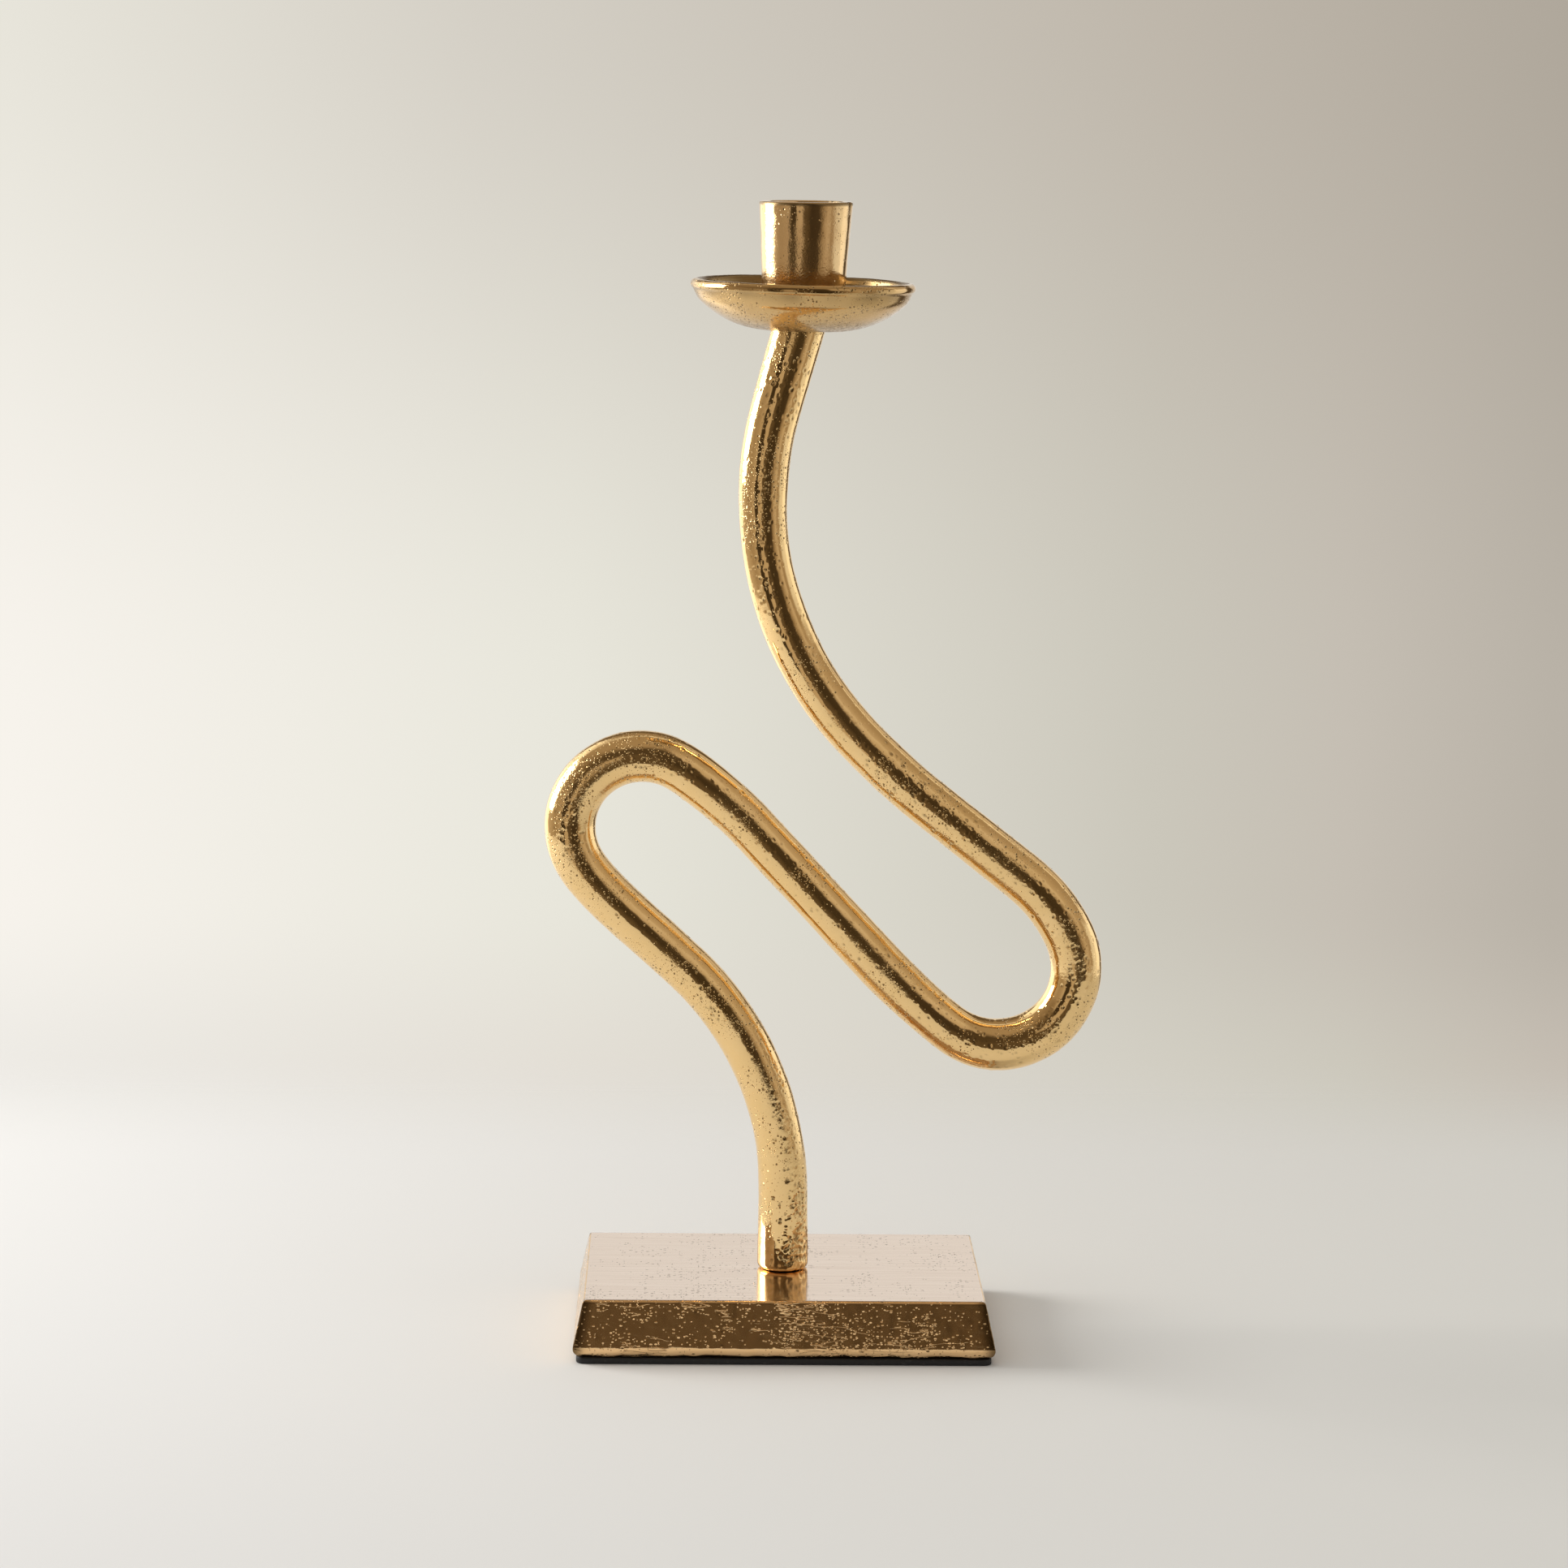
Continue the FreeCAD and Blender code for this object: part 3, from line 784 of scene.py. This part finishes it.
def stemLine():
    spacing = stem["spacing"]
    headings, lastHeading = stemHeadings(spacing)
    headings += [lastHeading] * round(stem["overrun"] / spacing)
    reach = round(stem["softness"] / 2 / spacing)
    headings = smoothed(smoothed(headings, reach), reach)
    x, z = 0.0, plateHigh.z
    line = []
    for heading in headings:
        line.append((x, z, heading))
        x += spacing * math.cos(math.radians(heading))
        z += spacing * math.sin(math.radians(heading))
        if z > panLow.z:
            break
    return line


def barRadius(share):
    knots = stem["diameters"]
    for (low, first), (high, second) in zip(knots, knots[1:]):
        if share <= high:
            return (first + (second - first) * eased((share - low) / (high - low))) * mm / 2
    return knots[-1][1] * mm / 2


def sinkPit(depths, middleRow, middleColumn, radius, deep, long):
    around, spacing = stem["around"], stem["spacing"]
    columnStep = 2 * math.pi * stem["meanRadius"] * mm / around
    rowReach = math.ceil(radius * long / spacing)
    columnReach = math.ceil(radius / columnStep)
    for row in range(round(middleRow) - rowReach, round(middleRow) + rowReach + 1):
        for column in range(round(middleColumn) - columnReach, round(middleColumn) + columnReach + 1):
            along = (row - middleRow) * spacing / long
            across = (column - middleColumn) * columnStep
            away = math.hypot(along, across) / radius
            if away < 1:
                key = (row, column % around)
                dip = deep * (1 - away * away) ** 2
                if abs(dip) > abs(depths.get(key, 0)):
                    depths[key] = dip


def stemPits(rows):
    dice = random.Random(stem["pitSeed"])
    depths = {}
    for up, middleSide, long, wide, count, big in pitClusters:
        for _ in range(count):
            at = up * rows * stem["spacing"] + dice.gauss(0, long * mm / 2)
            side = middleSide + dice.gauss(0, wide / 2)
            radius = dice.uniform(*stem["pitRadius"]) * mm * big
            deep = radius * dice.uniform(*stem["pitSteep"])
            deep *= 1 if dice.random() < stem["sunkShare"] else stem["bumpRise"]
            sinkPit(depths, at / stem["spacing"], side / 360 * stem["around"], radius, deep,
                    dice.uniform(*stem["pitLong"]))
    return depths


barSides = [2 * math.pi * column / stem["around"] for column in range(stem["around"])]


def barRing(x, z, heading, radius, row, pits):
    lean = math.radians(heading)
    leanSin, leanCos = math.sin(lean), math.cos(lean)
    ring = []
    for column, side in enumerate(barSides):
        across, front = math.cos(side), math.sin(side)
        place = (x - across * radius * leanSin, -front * radius, z + across * radius * leanCos)
        grow = (wander(place, stem["broadSize"], stem["broadWaves"], 5.0)
                + wander(place, stem["fineSize"], stem["fineWaves"], 9.0))
        full = radius + grow - pits.get((row, column), 0)
        ring.append((x - across * full * leanSin, -front * full, z + across * full * leanCos))
    return ring


def levelled(ring, z, heading, left):
    # rings near the top slide along the bar until they lie level under the pan
    turn = eased(1 - left / stem["levelling"])
    lean = math.radians(heading)
    made = []
    for px, py, pz in ring:
        slide = (z - pz) * turn / math.sin(lean)
        made.append((px + slide * math.cos(lean), py, pz + slide * math.sin(lean)))
    return made


def levelRing(like, height):
    return [(x, y, height) for x, y, _ in like]


def circleRing(x, radius, z):
    return [(x - radius * math.cos(side), -radius * math.sin(side), z) for side in barSides]


def buildStem():
    line = stemLine()
    rows = len(line)
    pits = stemPits(rows)
    footRadius, footDepth = stem["footHole"]
    topRadius, topDepth = stem["topHole"]
    tip = stem["holeTip"]
    bottom = plateHigh.z
    footRings = [circleRing(0, tip, bottom + footDepth),
                 circleRing(0, footRadius, bottom + footDepth),
                 circleRing(0, footRadius, bottom)]
    bar = []
    edge = stem["footEdge"]
    for row, (x, z, heading) in enumerate(line):
        radius = barRadius(row / (rows - 1))
        up = z - bottom
        if row < rows / 2 and up < edge:
            radius -= edge - math.sqrt(max(0.0, edge ** 2 - (edge - up) ** 2))
        ring = barRing(x, z, heading, radius, row, pits)
        left = (rows - 1 - row) * stem["spacing"]
        if left < stem["levelling"]:
            ring = levelled(ring, z, heading, left)
        bar.append(ring)
    bar[0] = levelRing(bar[0], bottom)
    bar[-1] = levelRing(bar[-1], panLow.z)
    topRings = [circleRing(panX, topRadius, panLow.z),
                circleRing(panX, topRadius, panLow.z - topDepth),
                circleRing(panX, tip, panLow.z - topDepth)]
    piece = skinRings("bentStem", footRings + bar + topRings, False, [stemBrass], 60)

    def darkAt(vertex):
        row, column = divmod(vertex.index, stem["around"])
        row -= len(footRings)
        dip = pits.get((row, column), 0) if 0 <= row < rows else 0
        return max(0.0, min(1.0, dip / stem["darkDepth"]))

    markPitsAndShade(piece, darkAt)
    finishPiece(piece, "stem")
    print("Stem ends at x", round(line[-1][0] / mm, 2), "z", round(line[-1][1] / mm, 2), "mm")


buildStem()


# Drip pan and candle cup are turned, with the small faults of a casting

def turnProfile(name, profile, x, z, around, shift, material):
    rings = []
    for radius, height in profile:
        ring = [shift(radius, height, 2 * math.pi * column / around) for column in range(around)]
        rings.append([(x + r * math.sin(s), -r * math.cos(s), z + h) for r, h, s in ring])
    return skinRings(name, rings, True, [material], 45)


def leanOver(piece, degrees, x, z):
    lean = Matrix.Rotation(math.radians(degrees), 4, "Y")
    piece.data.transform(Matrix.Translation((x, 0, z)) @ lean @ Matrix.Translation((-x, 0, -z)))


dripPan = {
    "wall": 2.8 * mm,
    "lipRadius": 1.7 * mm,
    "bowlRadius": 31 * mm,
    "bowlDeg": 42,
    "shoulderRadius": 6 * mm,
    "flareDeg": 64,
    "holeRadius": 2.8 * mm,
    "seatRadius": 12.9 * mm,
    "seatHeight": 0.8 * mm,
    "seatSlope": 0.3 * mm,
    "wallSpacing": 0.7 * mm,
    "floorSpacing": 1.2 * mm,
    "leanDeg": 0.8,
    "around": 360,
    "evenRadius": 8 * mm,   # nearer the middle than this the pan stays true
    "rimWaves": 0.25 * mm,
    "rimWaveCount": 1.6,    # more makes them shorter
    "rimDrop": 0.05 * mm,
    "dents": 0.20 * mm,
    "dentsShown": 0.6,      # both outwards and upwards
    "dentSize": 9 * mm,
    "smallDents": 0.3,      # as a share of the dents
    "smallDentSize": 3.1 * mm,
    "insideShade": 1.1,      # painted shade inside the bowl
    "lipWidth": 1.9 * mm,   # but not on its lip
    "shoulderShade": 0.75,   # and a patchy band of painted shade under the lip
    "shoulderAt": 0.76,     # share of the pan's height
    "shoulderWide": 0.22,
    "patchSize": 7 * mm,
    "patchMiddle": 0.75,
}


def panWall(inset):
    size = dripPan
    bowlDeg, flareDeg = size["bowlDeg"], size["flareDeg"]
    bowl, flare = math.radians(bowlDeg), math.radians(flareDeg)
    panRadius, panDepth = (panHigh.x - panLow.x) / 2, panHigh.z - panLow.z
    half = size["wall"] / 2
    between = size["bowlRadius"] - size["shoulderRadius"]
    shoulderZ = size["bowlRadius"] - between * math.cos(bowl)
    wallFoot = shoulderZ - (size["shoulderRadius"] - half) * math.cos(flare)
    wall = (panDepth - size["lipRadius"] - wallFoot) / math.sin(flare)
    reach = wall * math.cos(flare) + (size["shoulderRadius"] - half) * math.sin(flare)
    shoulderX = panRadius - size["lipRadius"] - reach
    footRadius = shoulderX - between * math.sin(bowl)
    bowlArc = arcPoints((footRadius, size["bowlRadius"]), size["bowlRadius"] - inset,
                        -90, bowlDeg - 90, 40)
    shoulder = arcPoints((shoulderX, shoulderZ), size["shoulderRadius"] - inset,
                         bowlDeg - 90, flareDeg - 90, 6)
    end = shoulder[-1]
    top = (end[0] + wall * math.cos(flare), end[1] + wall * math.sin(flare))
    return bowlArc + shoulder[1:] + linePoints(end, top, size["wallSpacing"])


def panOutline():
    size = dripPan
    panRadius, panDepth = (panHigh.x - panLow.x) / 2, panHigh.z - panLow.z
    outside, inside = panWall(0), panWall(size["wall"])
    lipCentre = (panRadius - size["lipRadius"], panDepth - size["lipRadius"])
    lip = arcPoints(lipCentre, size["lipRadius"], size["flareDeg"] - 100, size["flareDeg"] + 96, 14)
    seatFoot = (size["seatRadius"] + size["seatSlope"], size["wall"])
    seatTop = size["wall"] + size["seatHeight"]
    hole = (size["holeRadius"], 0)
    underside = linePoints(hole, outside[0], size["floorSpacing"])
    bowlFloor = linePoints(inside[0], seatFoot, size["floorSpacing"])
    return ([hole] + underside + outside + lip + inside[::-1] + bowlFloor
            + [seatFoot, (size["seatRadius"], seatTop), (size["holeRadius"], seatTop)])


def buildDripPan():
    size = dripPan
    depth = panHigh.z - panLow.z
    even = size["evenRadius"]

    def shift(radius, height, side):
        if radius < even:
            return radius, height, side
        place = (radius * math.sin(side), -radius * math.cos(side), height)
        push = (wander(place, size["dentSize"], size["dents"], 2.0)
                + wander(place, size["smallDentSize"], size["smallDents"] * size["dents"], 4.0))
        rim = max(0.0, height / depth) ** 2
        count = size["rimWaveCount"]
        wave = noise.noise(Vector((count * math.sin(side), count * math.cos(side), 0.4)))
        lift = rim * wave * size["rimWaves"]
        share = min(1.0, (radius - even) / even)
        push *= size["dentsShown"]
        return radius + push * share, height + (push + lift) * share - size["rimDrop"] * rim, side

    def darkAt(vertex):
        # painted shade inside the bowl and in a patchy band under the lip
        radius = math.hypot(vertex.co.x - panX, vertex.co.y)
        if vertex.normal.z > 0.15 and radius < panHigh.x - panX - size["lipWidth"]:
            return size["insideShade"]
        if vertex.normal.z >= 0.1:      # the lip's top
            return 0.0
        share = (vertex.co.z - panLow.z) / depth
        patchy = size["patchMiddle"] + noise.noise(vertex.co / size["patchSize"])
        band = max(0.0, 1 - abs(share - size["shoulderAt"]) / size["shoulderWide"])
        return size["shoulderShade"] * band * patchy

    piece = turnProfile("dripPan", panOutline(), panX, panLow.z, size["around"], shift, panBrass)
    markPitsAndShade(piece, darkAt)
    leanOver(piece, size["leanDeg"], panX, panLow.z)
    finishPiece(piece, "drip_pan")


buildDripPan()

cupLow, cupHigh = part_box("candle_cup")
candleCup = {
    "footRadius": 12.1 * mm,
    "mouthRadius": 14.1 * mm,
    "boreRadius": 11.3 * mm,
    "boreDepth": 22 * mm,
    "noseRadius": 8 * mm,
    "floor": 5 * mm,
    "mouthEdge": 0.7 * mm,
    "footEdge": 0.5 * mm,
    "sinkRadius": 4.8 * mm,     # for the screw's head
    "sinkStep": 0.7 * mm,
    "sinkCone": 2.0 * mm,
    "holeRadius": 2.8 * mm,
    "wallSpacing": 0.55 * mm,
    "boreSpacing": 0.9 * mm,
    "noseSpacing": 1.0 * mm,
    "leanDeg": 1.1,
    "mouthDeg": -0.9,       # the mouth is cut more level than the cup leans
    "around": 360,
    "evenRadius": 6 * mm,   # nearer the middle than this the cup stays true
    "dents": 0.11 * mm,
    "dentSize": 11 * mm,
    "smallDents": 0.35,     # as a share of the dents
    "smallDentSize": 2.8 * mm,
    "footDents": 0.16 * mm,
    "footDentSize": 1.6 * mm,
    "footDentsUp": 7 * mm,  # the dents at the foot reach this high
    "rimLine": 0.9 * mm,    # a painted dark line of shade runs this far below the rim
    "rimBand": (0.2, 1.3),  # from and to these shares of that
    "rimShade": 1.2,
    "notchDeg": 70,         # a nick in the mouth, narrowing downwards
    "notchWidth": 1.6 * mm,
    "notchLength": 3.6 * mm,
    "notchDepth": 0.9 * mm,
    "notchSlant": 0.35 * mm,
    "notchDark": 2.6,       # would-be darkness at its middle
    "notchDarkest": 1.3,    # where that is cut off, so that the nick has a firm edge
}


def cupOutline():
    size = candleCup
    height = cupHigh.z - cupLow.z
    slope = (size["mouthRadius"] - size["footRadius"]) / height
    edge, foot = size["mouthEdge"], size["footEdge"]
    slopeDeg = math.degrees(math.atan(slope))
    lower = arcPoints((size["footRadius"] - foot, foot), foot, -90, -slopeDeg, 4)
    outer = arcPoints((size["mouthRadius"] - edge, height - edge), edge, -slopeDeg, 90, 5)
    innerEdge = arcPoints((size["boreRadius"] + edge, height - edge), edge, 90, 180, 5)
    wall = linePoints(lower[-1], outer[0], size["wallSpacing"])
    boreEnd = (size["boreRadius"], height - size["boreDepth"])
    bore = linePoints(innerEdge[-1], boreEnd, size["boreSpacing"])
    nose = (size["noseRadius"], size["floor"])
    sinkFoot = size["floor"] - size["sinkStep"]
    return ([(size["holeRadius"], 0)] + lower + wall + outer + innerEdge + bore + [boreEnd]
            + linePoints(boreEnd, nose, size["noseSpacing"])
            + [nose, (size["sinkRadius"], size["floor"]), (size["sinkRadius"], sinkFoot),
               (size["holeRadius"], sinkFoot - size["sinkCone"])])


def buildCandleCup():
    size = candleCup
    height = cupHigh.z - cupLow.z
    mouthSlope = math.tan(math.radians(-size["mouthDeg"]))
    notchTurn = math.radians(size["notchDeg"])

    def shift(radius, level, side):
        if radius < size["evenRadius"]:
            return radius, level, side
        place = (radius * math.sin(side), -radius * math.cos(side), level)
        push = (wander(place, size["dentSize"], size["dents"], 6.0)
                + wander(place, size["smallDentSize"], size["smallDents"] * size["dents"], 8.0))
        rough = max(0.0, 1 - level / size["footDentsUp"])
        push += wander(place, size["footDentSize"], size["footDents"] * rough, 1.0)
        across = (side - notchTurn) * radius
        down = (height - level) / size["notchLength"]
        width = size["notchWidth"] * (1 - down)
        if 0 <= down < 1 and radius > size["boreRadius"] + 0.8 * mm:
            away = abs(across + size["notchSlant"] * down) / max(width, 0.1 * mm)
            if away < 1:
                push -= size["notchDepth"] * (1 - away) * (1 - 0.5 * down)
        top = max(0.0, level / height) ** 2
        return radius + push, level + top * radius * math.sin(side) * mouthSlope, side

    def darkAt(vertex):
        x, y = vertex.co.x - panX, vertex.co.y
        below = cupHigh.z - vertex.co.z
        radius = math.hypot(x, y)
        dark = 0.0
        down = below / size["notchLength"]
        if down < 1 and radius > size["boreRadius"] + 0.3 * mm:
            across = (math.atan2(x, -y) - notchTurn) * radius + size["notchSlant"] * down
            away = abs(across) / (size["notchWidth"] * (1 - down) + 0.1 * mm)
            dark = min(size["notchDarkest"], max(0.0, size["notchDark"] * (1 - away)))
        # painted shade: a dark line just below the rim
        bandFrom, bandTo = size["rimBand"]
        inBand = bandFrom < (below + x * mouthSlope) / size["rimLine"] < bandTo
        if inBand and radius > size["boreRadius"] + 1.4 * mm:
            dark = max(dark, size["rimShade"])
        return dark

    piece = turnProfile("candleCup", cupOutline(), panX, cupLow.z, size["around"], shift, cupBrass)
    markPitsAndShade(piece, darkAt)
    leanOver(piece, size["leanDeg"], panX, panLow.z)
    finishPiece(piece, "candle_cup")


buildCandleCup()

for nodeName in ("base_screw", "base_spring_washer", "base_washer", "cup_screw"):
    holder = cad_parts[nodeName].data
    holder.materials.clear()
    holder.materials.append(steel)
print("Screws and washers finished")


# Floor and studio

floor = {
    "back": 0.62,
    "front": -0.50,
    "side": 1.0,
    "fadeBack": (0.20, 0.38),       # it melts into the backdrop between these distances
    "fadeFront": (-0.40, -0.46),
    "fadeSide": (0.46, 0.68),
    "left": srgb(228, 227, 225),
    "right": srgb(228, 226, 220),
    "tintAcross": (-0.22, 0.26),    # between these two places the colour changes
    "roughness": 0.85,
    "shine": 0.1,
    "fields": 40,
}


def buildFloor():
    mesh = bpy.data.meshes.new("floor")
    side, front, back = floor["side"], floor["front"], floor["back"]
    shape = bmesh.new()
    bmesh.ops.create_grid(shape, x_segments=floor["fields"], y_segments=floor["fields"], size=1.0)
    for vertex in shape.verts:
        along = (front + back) / 2 + vertex.co.y * (back - front) / 2
        vertex.co = Vector((vertex.co.x * side, along, 0))
    shape.to_mesh(mesh)
    shape.free()
    piece = bpy.data.objects.new("floor", mesh)
    scene.collection.objects.link(piece)
    material, tree, shader, place = newMaterial("paleFloor")
    x, y, z = addNode(tree, "ShaderNodeSeparateXYZ", None, {0: place}).outputs
    across = stretch(tree, x, *floor["tintAcross"], 0, 1, False)
    tree.links.new(mixColour(tree, across, floor["left"], floor["right"]), shader.inputs["Base Color"])
    shader.inputs["Roughness"].default_value = floor["roughness"]
    shader.inputs["Specular IOR Level"].default_value = floor["shine"]
    fade = stretch(tree, y, *floor["fadeBack"])
    fade = most(tree, fade, stretch(tree, y, *floor["fadeFront"]))
    fade = most(tree, fade, stretch(tree, calculate(tree, "ABSOLUTE", x), *floor["fadeSide"]))
    clear = addNode(tree, "ShaderNodeBsdfTransparent")
    shown = addNode(tree, "ShaderNodeMixShader", None,
                    {0: fade, 1: shader.outputs[0], 2: clear.outputs[0]})
    tree.links.new(shown.outputs[0], tree.nodes["Material Output"].inputs[0])
    mesh.materials.append(material)


buildFloor()


roomTone = {"pale": (0.985, 0.95), "brown": (0.28, 0.56), "brownBelow": 0.75, "bend": 0.6}


def greyTone(level):
    # pale parts of the room are near white, dark parts turn brown: less green, much less blue
    dark = max(0.0, 1 - level / roomTone["brownBelow"]) ** roomTone["bend"]
    green, blue = (level * (pale - brown * dark)
                   for pale, brown in zip(roomTone["pale"], roomTone["brown"]))
    return (level, green, blue, 1)


backdrop = {        # across the picture from left to right; the wall's light and shade are painted in, bright at the left, darker towards the right and higher up
    "high": [(0.0, srgb(231, 228, 218)), (0.30, srgb(212, 207, 197)), (0.75, srgb(190, 182, 170)),
             (1.0, srgb(175, 167, 155))],
    "low": [(0.0, srgb(247, 243, 236)), (0.36, srgb(232, 230, 219)), (0.74, srgb(203, 199, 187)),
            (0.87, srgb(197, 190, 179)), (1.0, srgb(185, 178, 167))],
    "foot": [(0.0, srgb(237, 234, 228)), (0.36, srgb(227, 222, 213)), (0.74, srgb(211, 207, 196)),
             (0.87, srgb(205, 201, 189)), (1.0, srgb(199, 191, 180))],
}

studioRound = [     # degrees round the holder from the front, left is minus, and the brightness there
    (-180, 0.80), (-160, 0.95), (-150, 1.60), (-118, 1.60), (-112, 0.55), (-80, 0.42), (-70, 0.36),
    (-55, 0.40), (-43, 0.50), (-40, 0.05), (-25, 0.05), (-23, 0.48), (-9, 0.50), (-7, 0.10),
    (0, 0.11), (12, 0.05), (34, 0.06), (40, 0.26), (52, 0.46), (60, 0.56), (68, 0.34), (76, 0.38),
    (84, 0.75), (104, 0.85), (108, 1.15), (128, 1.10), (133, 0.10), (145, 0.10), (150, 0.70),
    (180, 0.80),
]
studioUpper = [     # the same for what is reflected from higher up
    (-180, 0.16), (-152, 0.18), (-148, 1.30), (-116, 1.30), (-110, 0.40), (-80, 0.30), (-45, 0.20),
    (-30, 0.09), (22, 0.07), (27, 0.12), (31, 0.50), (50, 0.62), (58, 0.50), (74, 0.44), (96, 0.38),
    (110, 0.40), (122, 0.60), (140, 0.60), (146, 0.12), (180, 0.16),
]
studioParts = {"overhead": 0.36, "strip": 0.95, "wall": 0.78, "plain": (0.37, 0.36, 0.345, 1)}

skyZones = {        # directions between which one part of the room gives way to another
    "pictureAcross": (-0.16, 0.20),
    "pictureUp": (-0.15, 0.03),
    "pictureFoot": (-0.185, -0.235),
    "upper": (0.20, 0.36),
    "overhead": (0.62, 0.86),
    "stripFront": (0.30, 0.33),
    "stripBack": (0.40, 0.37),
    "wallBehind": (0.88, 0.94),
    "wallTop": (0.44, 0.36),
}


def roomSteps(levels):
    return [((deg + 180) / 360, greyTone(level)) for deg, level in levels]


def buildWorld():
    world = bpy.data.worlds.new("studio")
    scene.world = world
    world.use_nodes = True
    tree = world.node_tree
    back = tree.nodes["Background"]
    direction = addNode(tree, "ShaderNodeTexCoord").outputs["Generated"]
    x, y, z = addNode(tree, "ShaderNodeSeparateXYZ", None, {0: direction}).outputs

    def zone(axis, name):
        return stretch(tree, axis, *skyZones[name])

    # the wall seen by the camera, with its light and shade painted in
    across = stretch(tree, x, *skyZones["pictureAcross"], 0, 1, False)
    low, high, foot = (colourSteps(tree, across, backdrop[part]) for part in ("low", "high", "foot"))
    wall = mixColour(tree, zone(z, "pictureUp"), low, high)
    wall = mixColour(tree, zone(z, "pictureFoot"), wall, foot)

    turn = calculate(tree, "ARCTAN2", x, times(tree, y, -1.0))
    around = stretch(tree, turn, -math.pi, math.pi, 0, 1, False)
    ring = colourSteps(tree, around, roomSteps(studioRound))
    upper = colourSteps(tree, around, roomSteps(studioUpper))
    upper = mixColour(tree, zone(z, "overhead"), upper, greyTone(studioParts["overhead"]))
    strip = times(tree, zone(y, "stripFront"), zone(y, "stripBack"))
    upper = mixColour(tree, strip, upper, greyTone(studioParts["strip"]))
    studio = mixColour(tree, zone(z, "upper"), ring, upper)
    behind = times(tree, zone(y, "wallBehind"), zone(z, "wallTop"))
    studio = mixColour(tree, behind, studio, greyTone(studioParts["wall"]))

    path = addNode(tree, "ShaderNodeLightPath")
    seen = mixColour(tree, path.outputs["Is Glossy Ray"], studioParts["plain"], studio)
    seen = mixColour(tree, path.outputs["Is Camera Ray"], seen, wall)
    tree.links.new(seen, back.inputs[0])
    back.inputs[1].default_value = 1.0


buildWorld()

lamps = {
    "key": {"place": (-1.12, 0.30, 0.57), "aim": (0.0, 0.0, 0.35), "size": (0.64, 0.76), "watts": 14,
            "colour": (1.0, 0.99, 0.97), "glossy": True},
    "overhead": {"place": (-0.25, -0.1, 1.6), "aim": (0, 0.05, 0), "size": (1.6, 1.6), "watts": 9.5,
                 "colour": (1.0, 0.995, 0.985), "glossy": False},
}


def buildLamps():
    for name, look in lamps.items():
        data = bpy.data.lights.new(name, "AREA")
        data.shape = "RECTANGLE"
        data.size, data.size_y = look["size"]
        data.energy = look["watts"]
        data.color = look["colour"]
        lamp = bpy.data.objects.new(name, data)
        lamp.location = look["place"]
        lamp.rotation_mode = "QUATERNION"
        beam = Vector(look["aim"]) - Vector(look["place"])
        lamp.rotation_quaternion = beam.to_track_quat("-Z", "Y")
        lamp.visible_camera = False
        lamp.visible_glossy = look["glossy"]
        scene.collection.objects.link(lamp)


buildLamps()

camera = {
    "place": (-27.95 * mm, -1277.0 * mm, 383.0 * mm),
    "yawDeg": 1.2,
    "pitchDeg": 9.36,
    "rollDeg": 0.66,
    "lens": 96.74,
    "sensor": 36,
}


def buildCamera():
    data = bpy.data.cameras.new("photoCamera")
    data.sensor_width = camera["sensor"]
    data.lens = camera["lens"]
    piece = bpy.data.objects.new("photoCamera", data)
    turn = (Matrix.Rotation(math.radians(-camera["yawDeg"]), 4, "Z")
            @ Matrix.Rotation(math.radians(90 - camera["pitchDeg"]), 4, "X")
            @ Matrix.Rotation(math.radians(camera["rollDeg"]), 4, "Z"))
    piece.matrix_world = Matrix.Translation(camera["place"]) @ turn
    scene.collection.objects.link(piece)
    scene.camera = piece


buildCamera()
print("Floor, studio, lamps and camera in place")
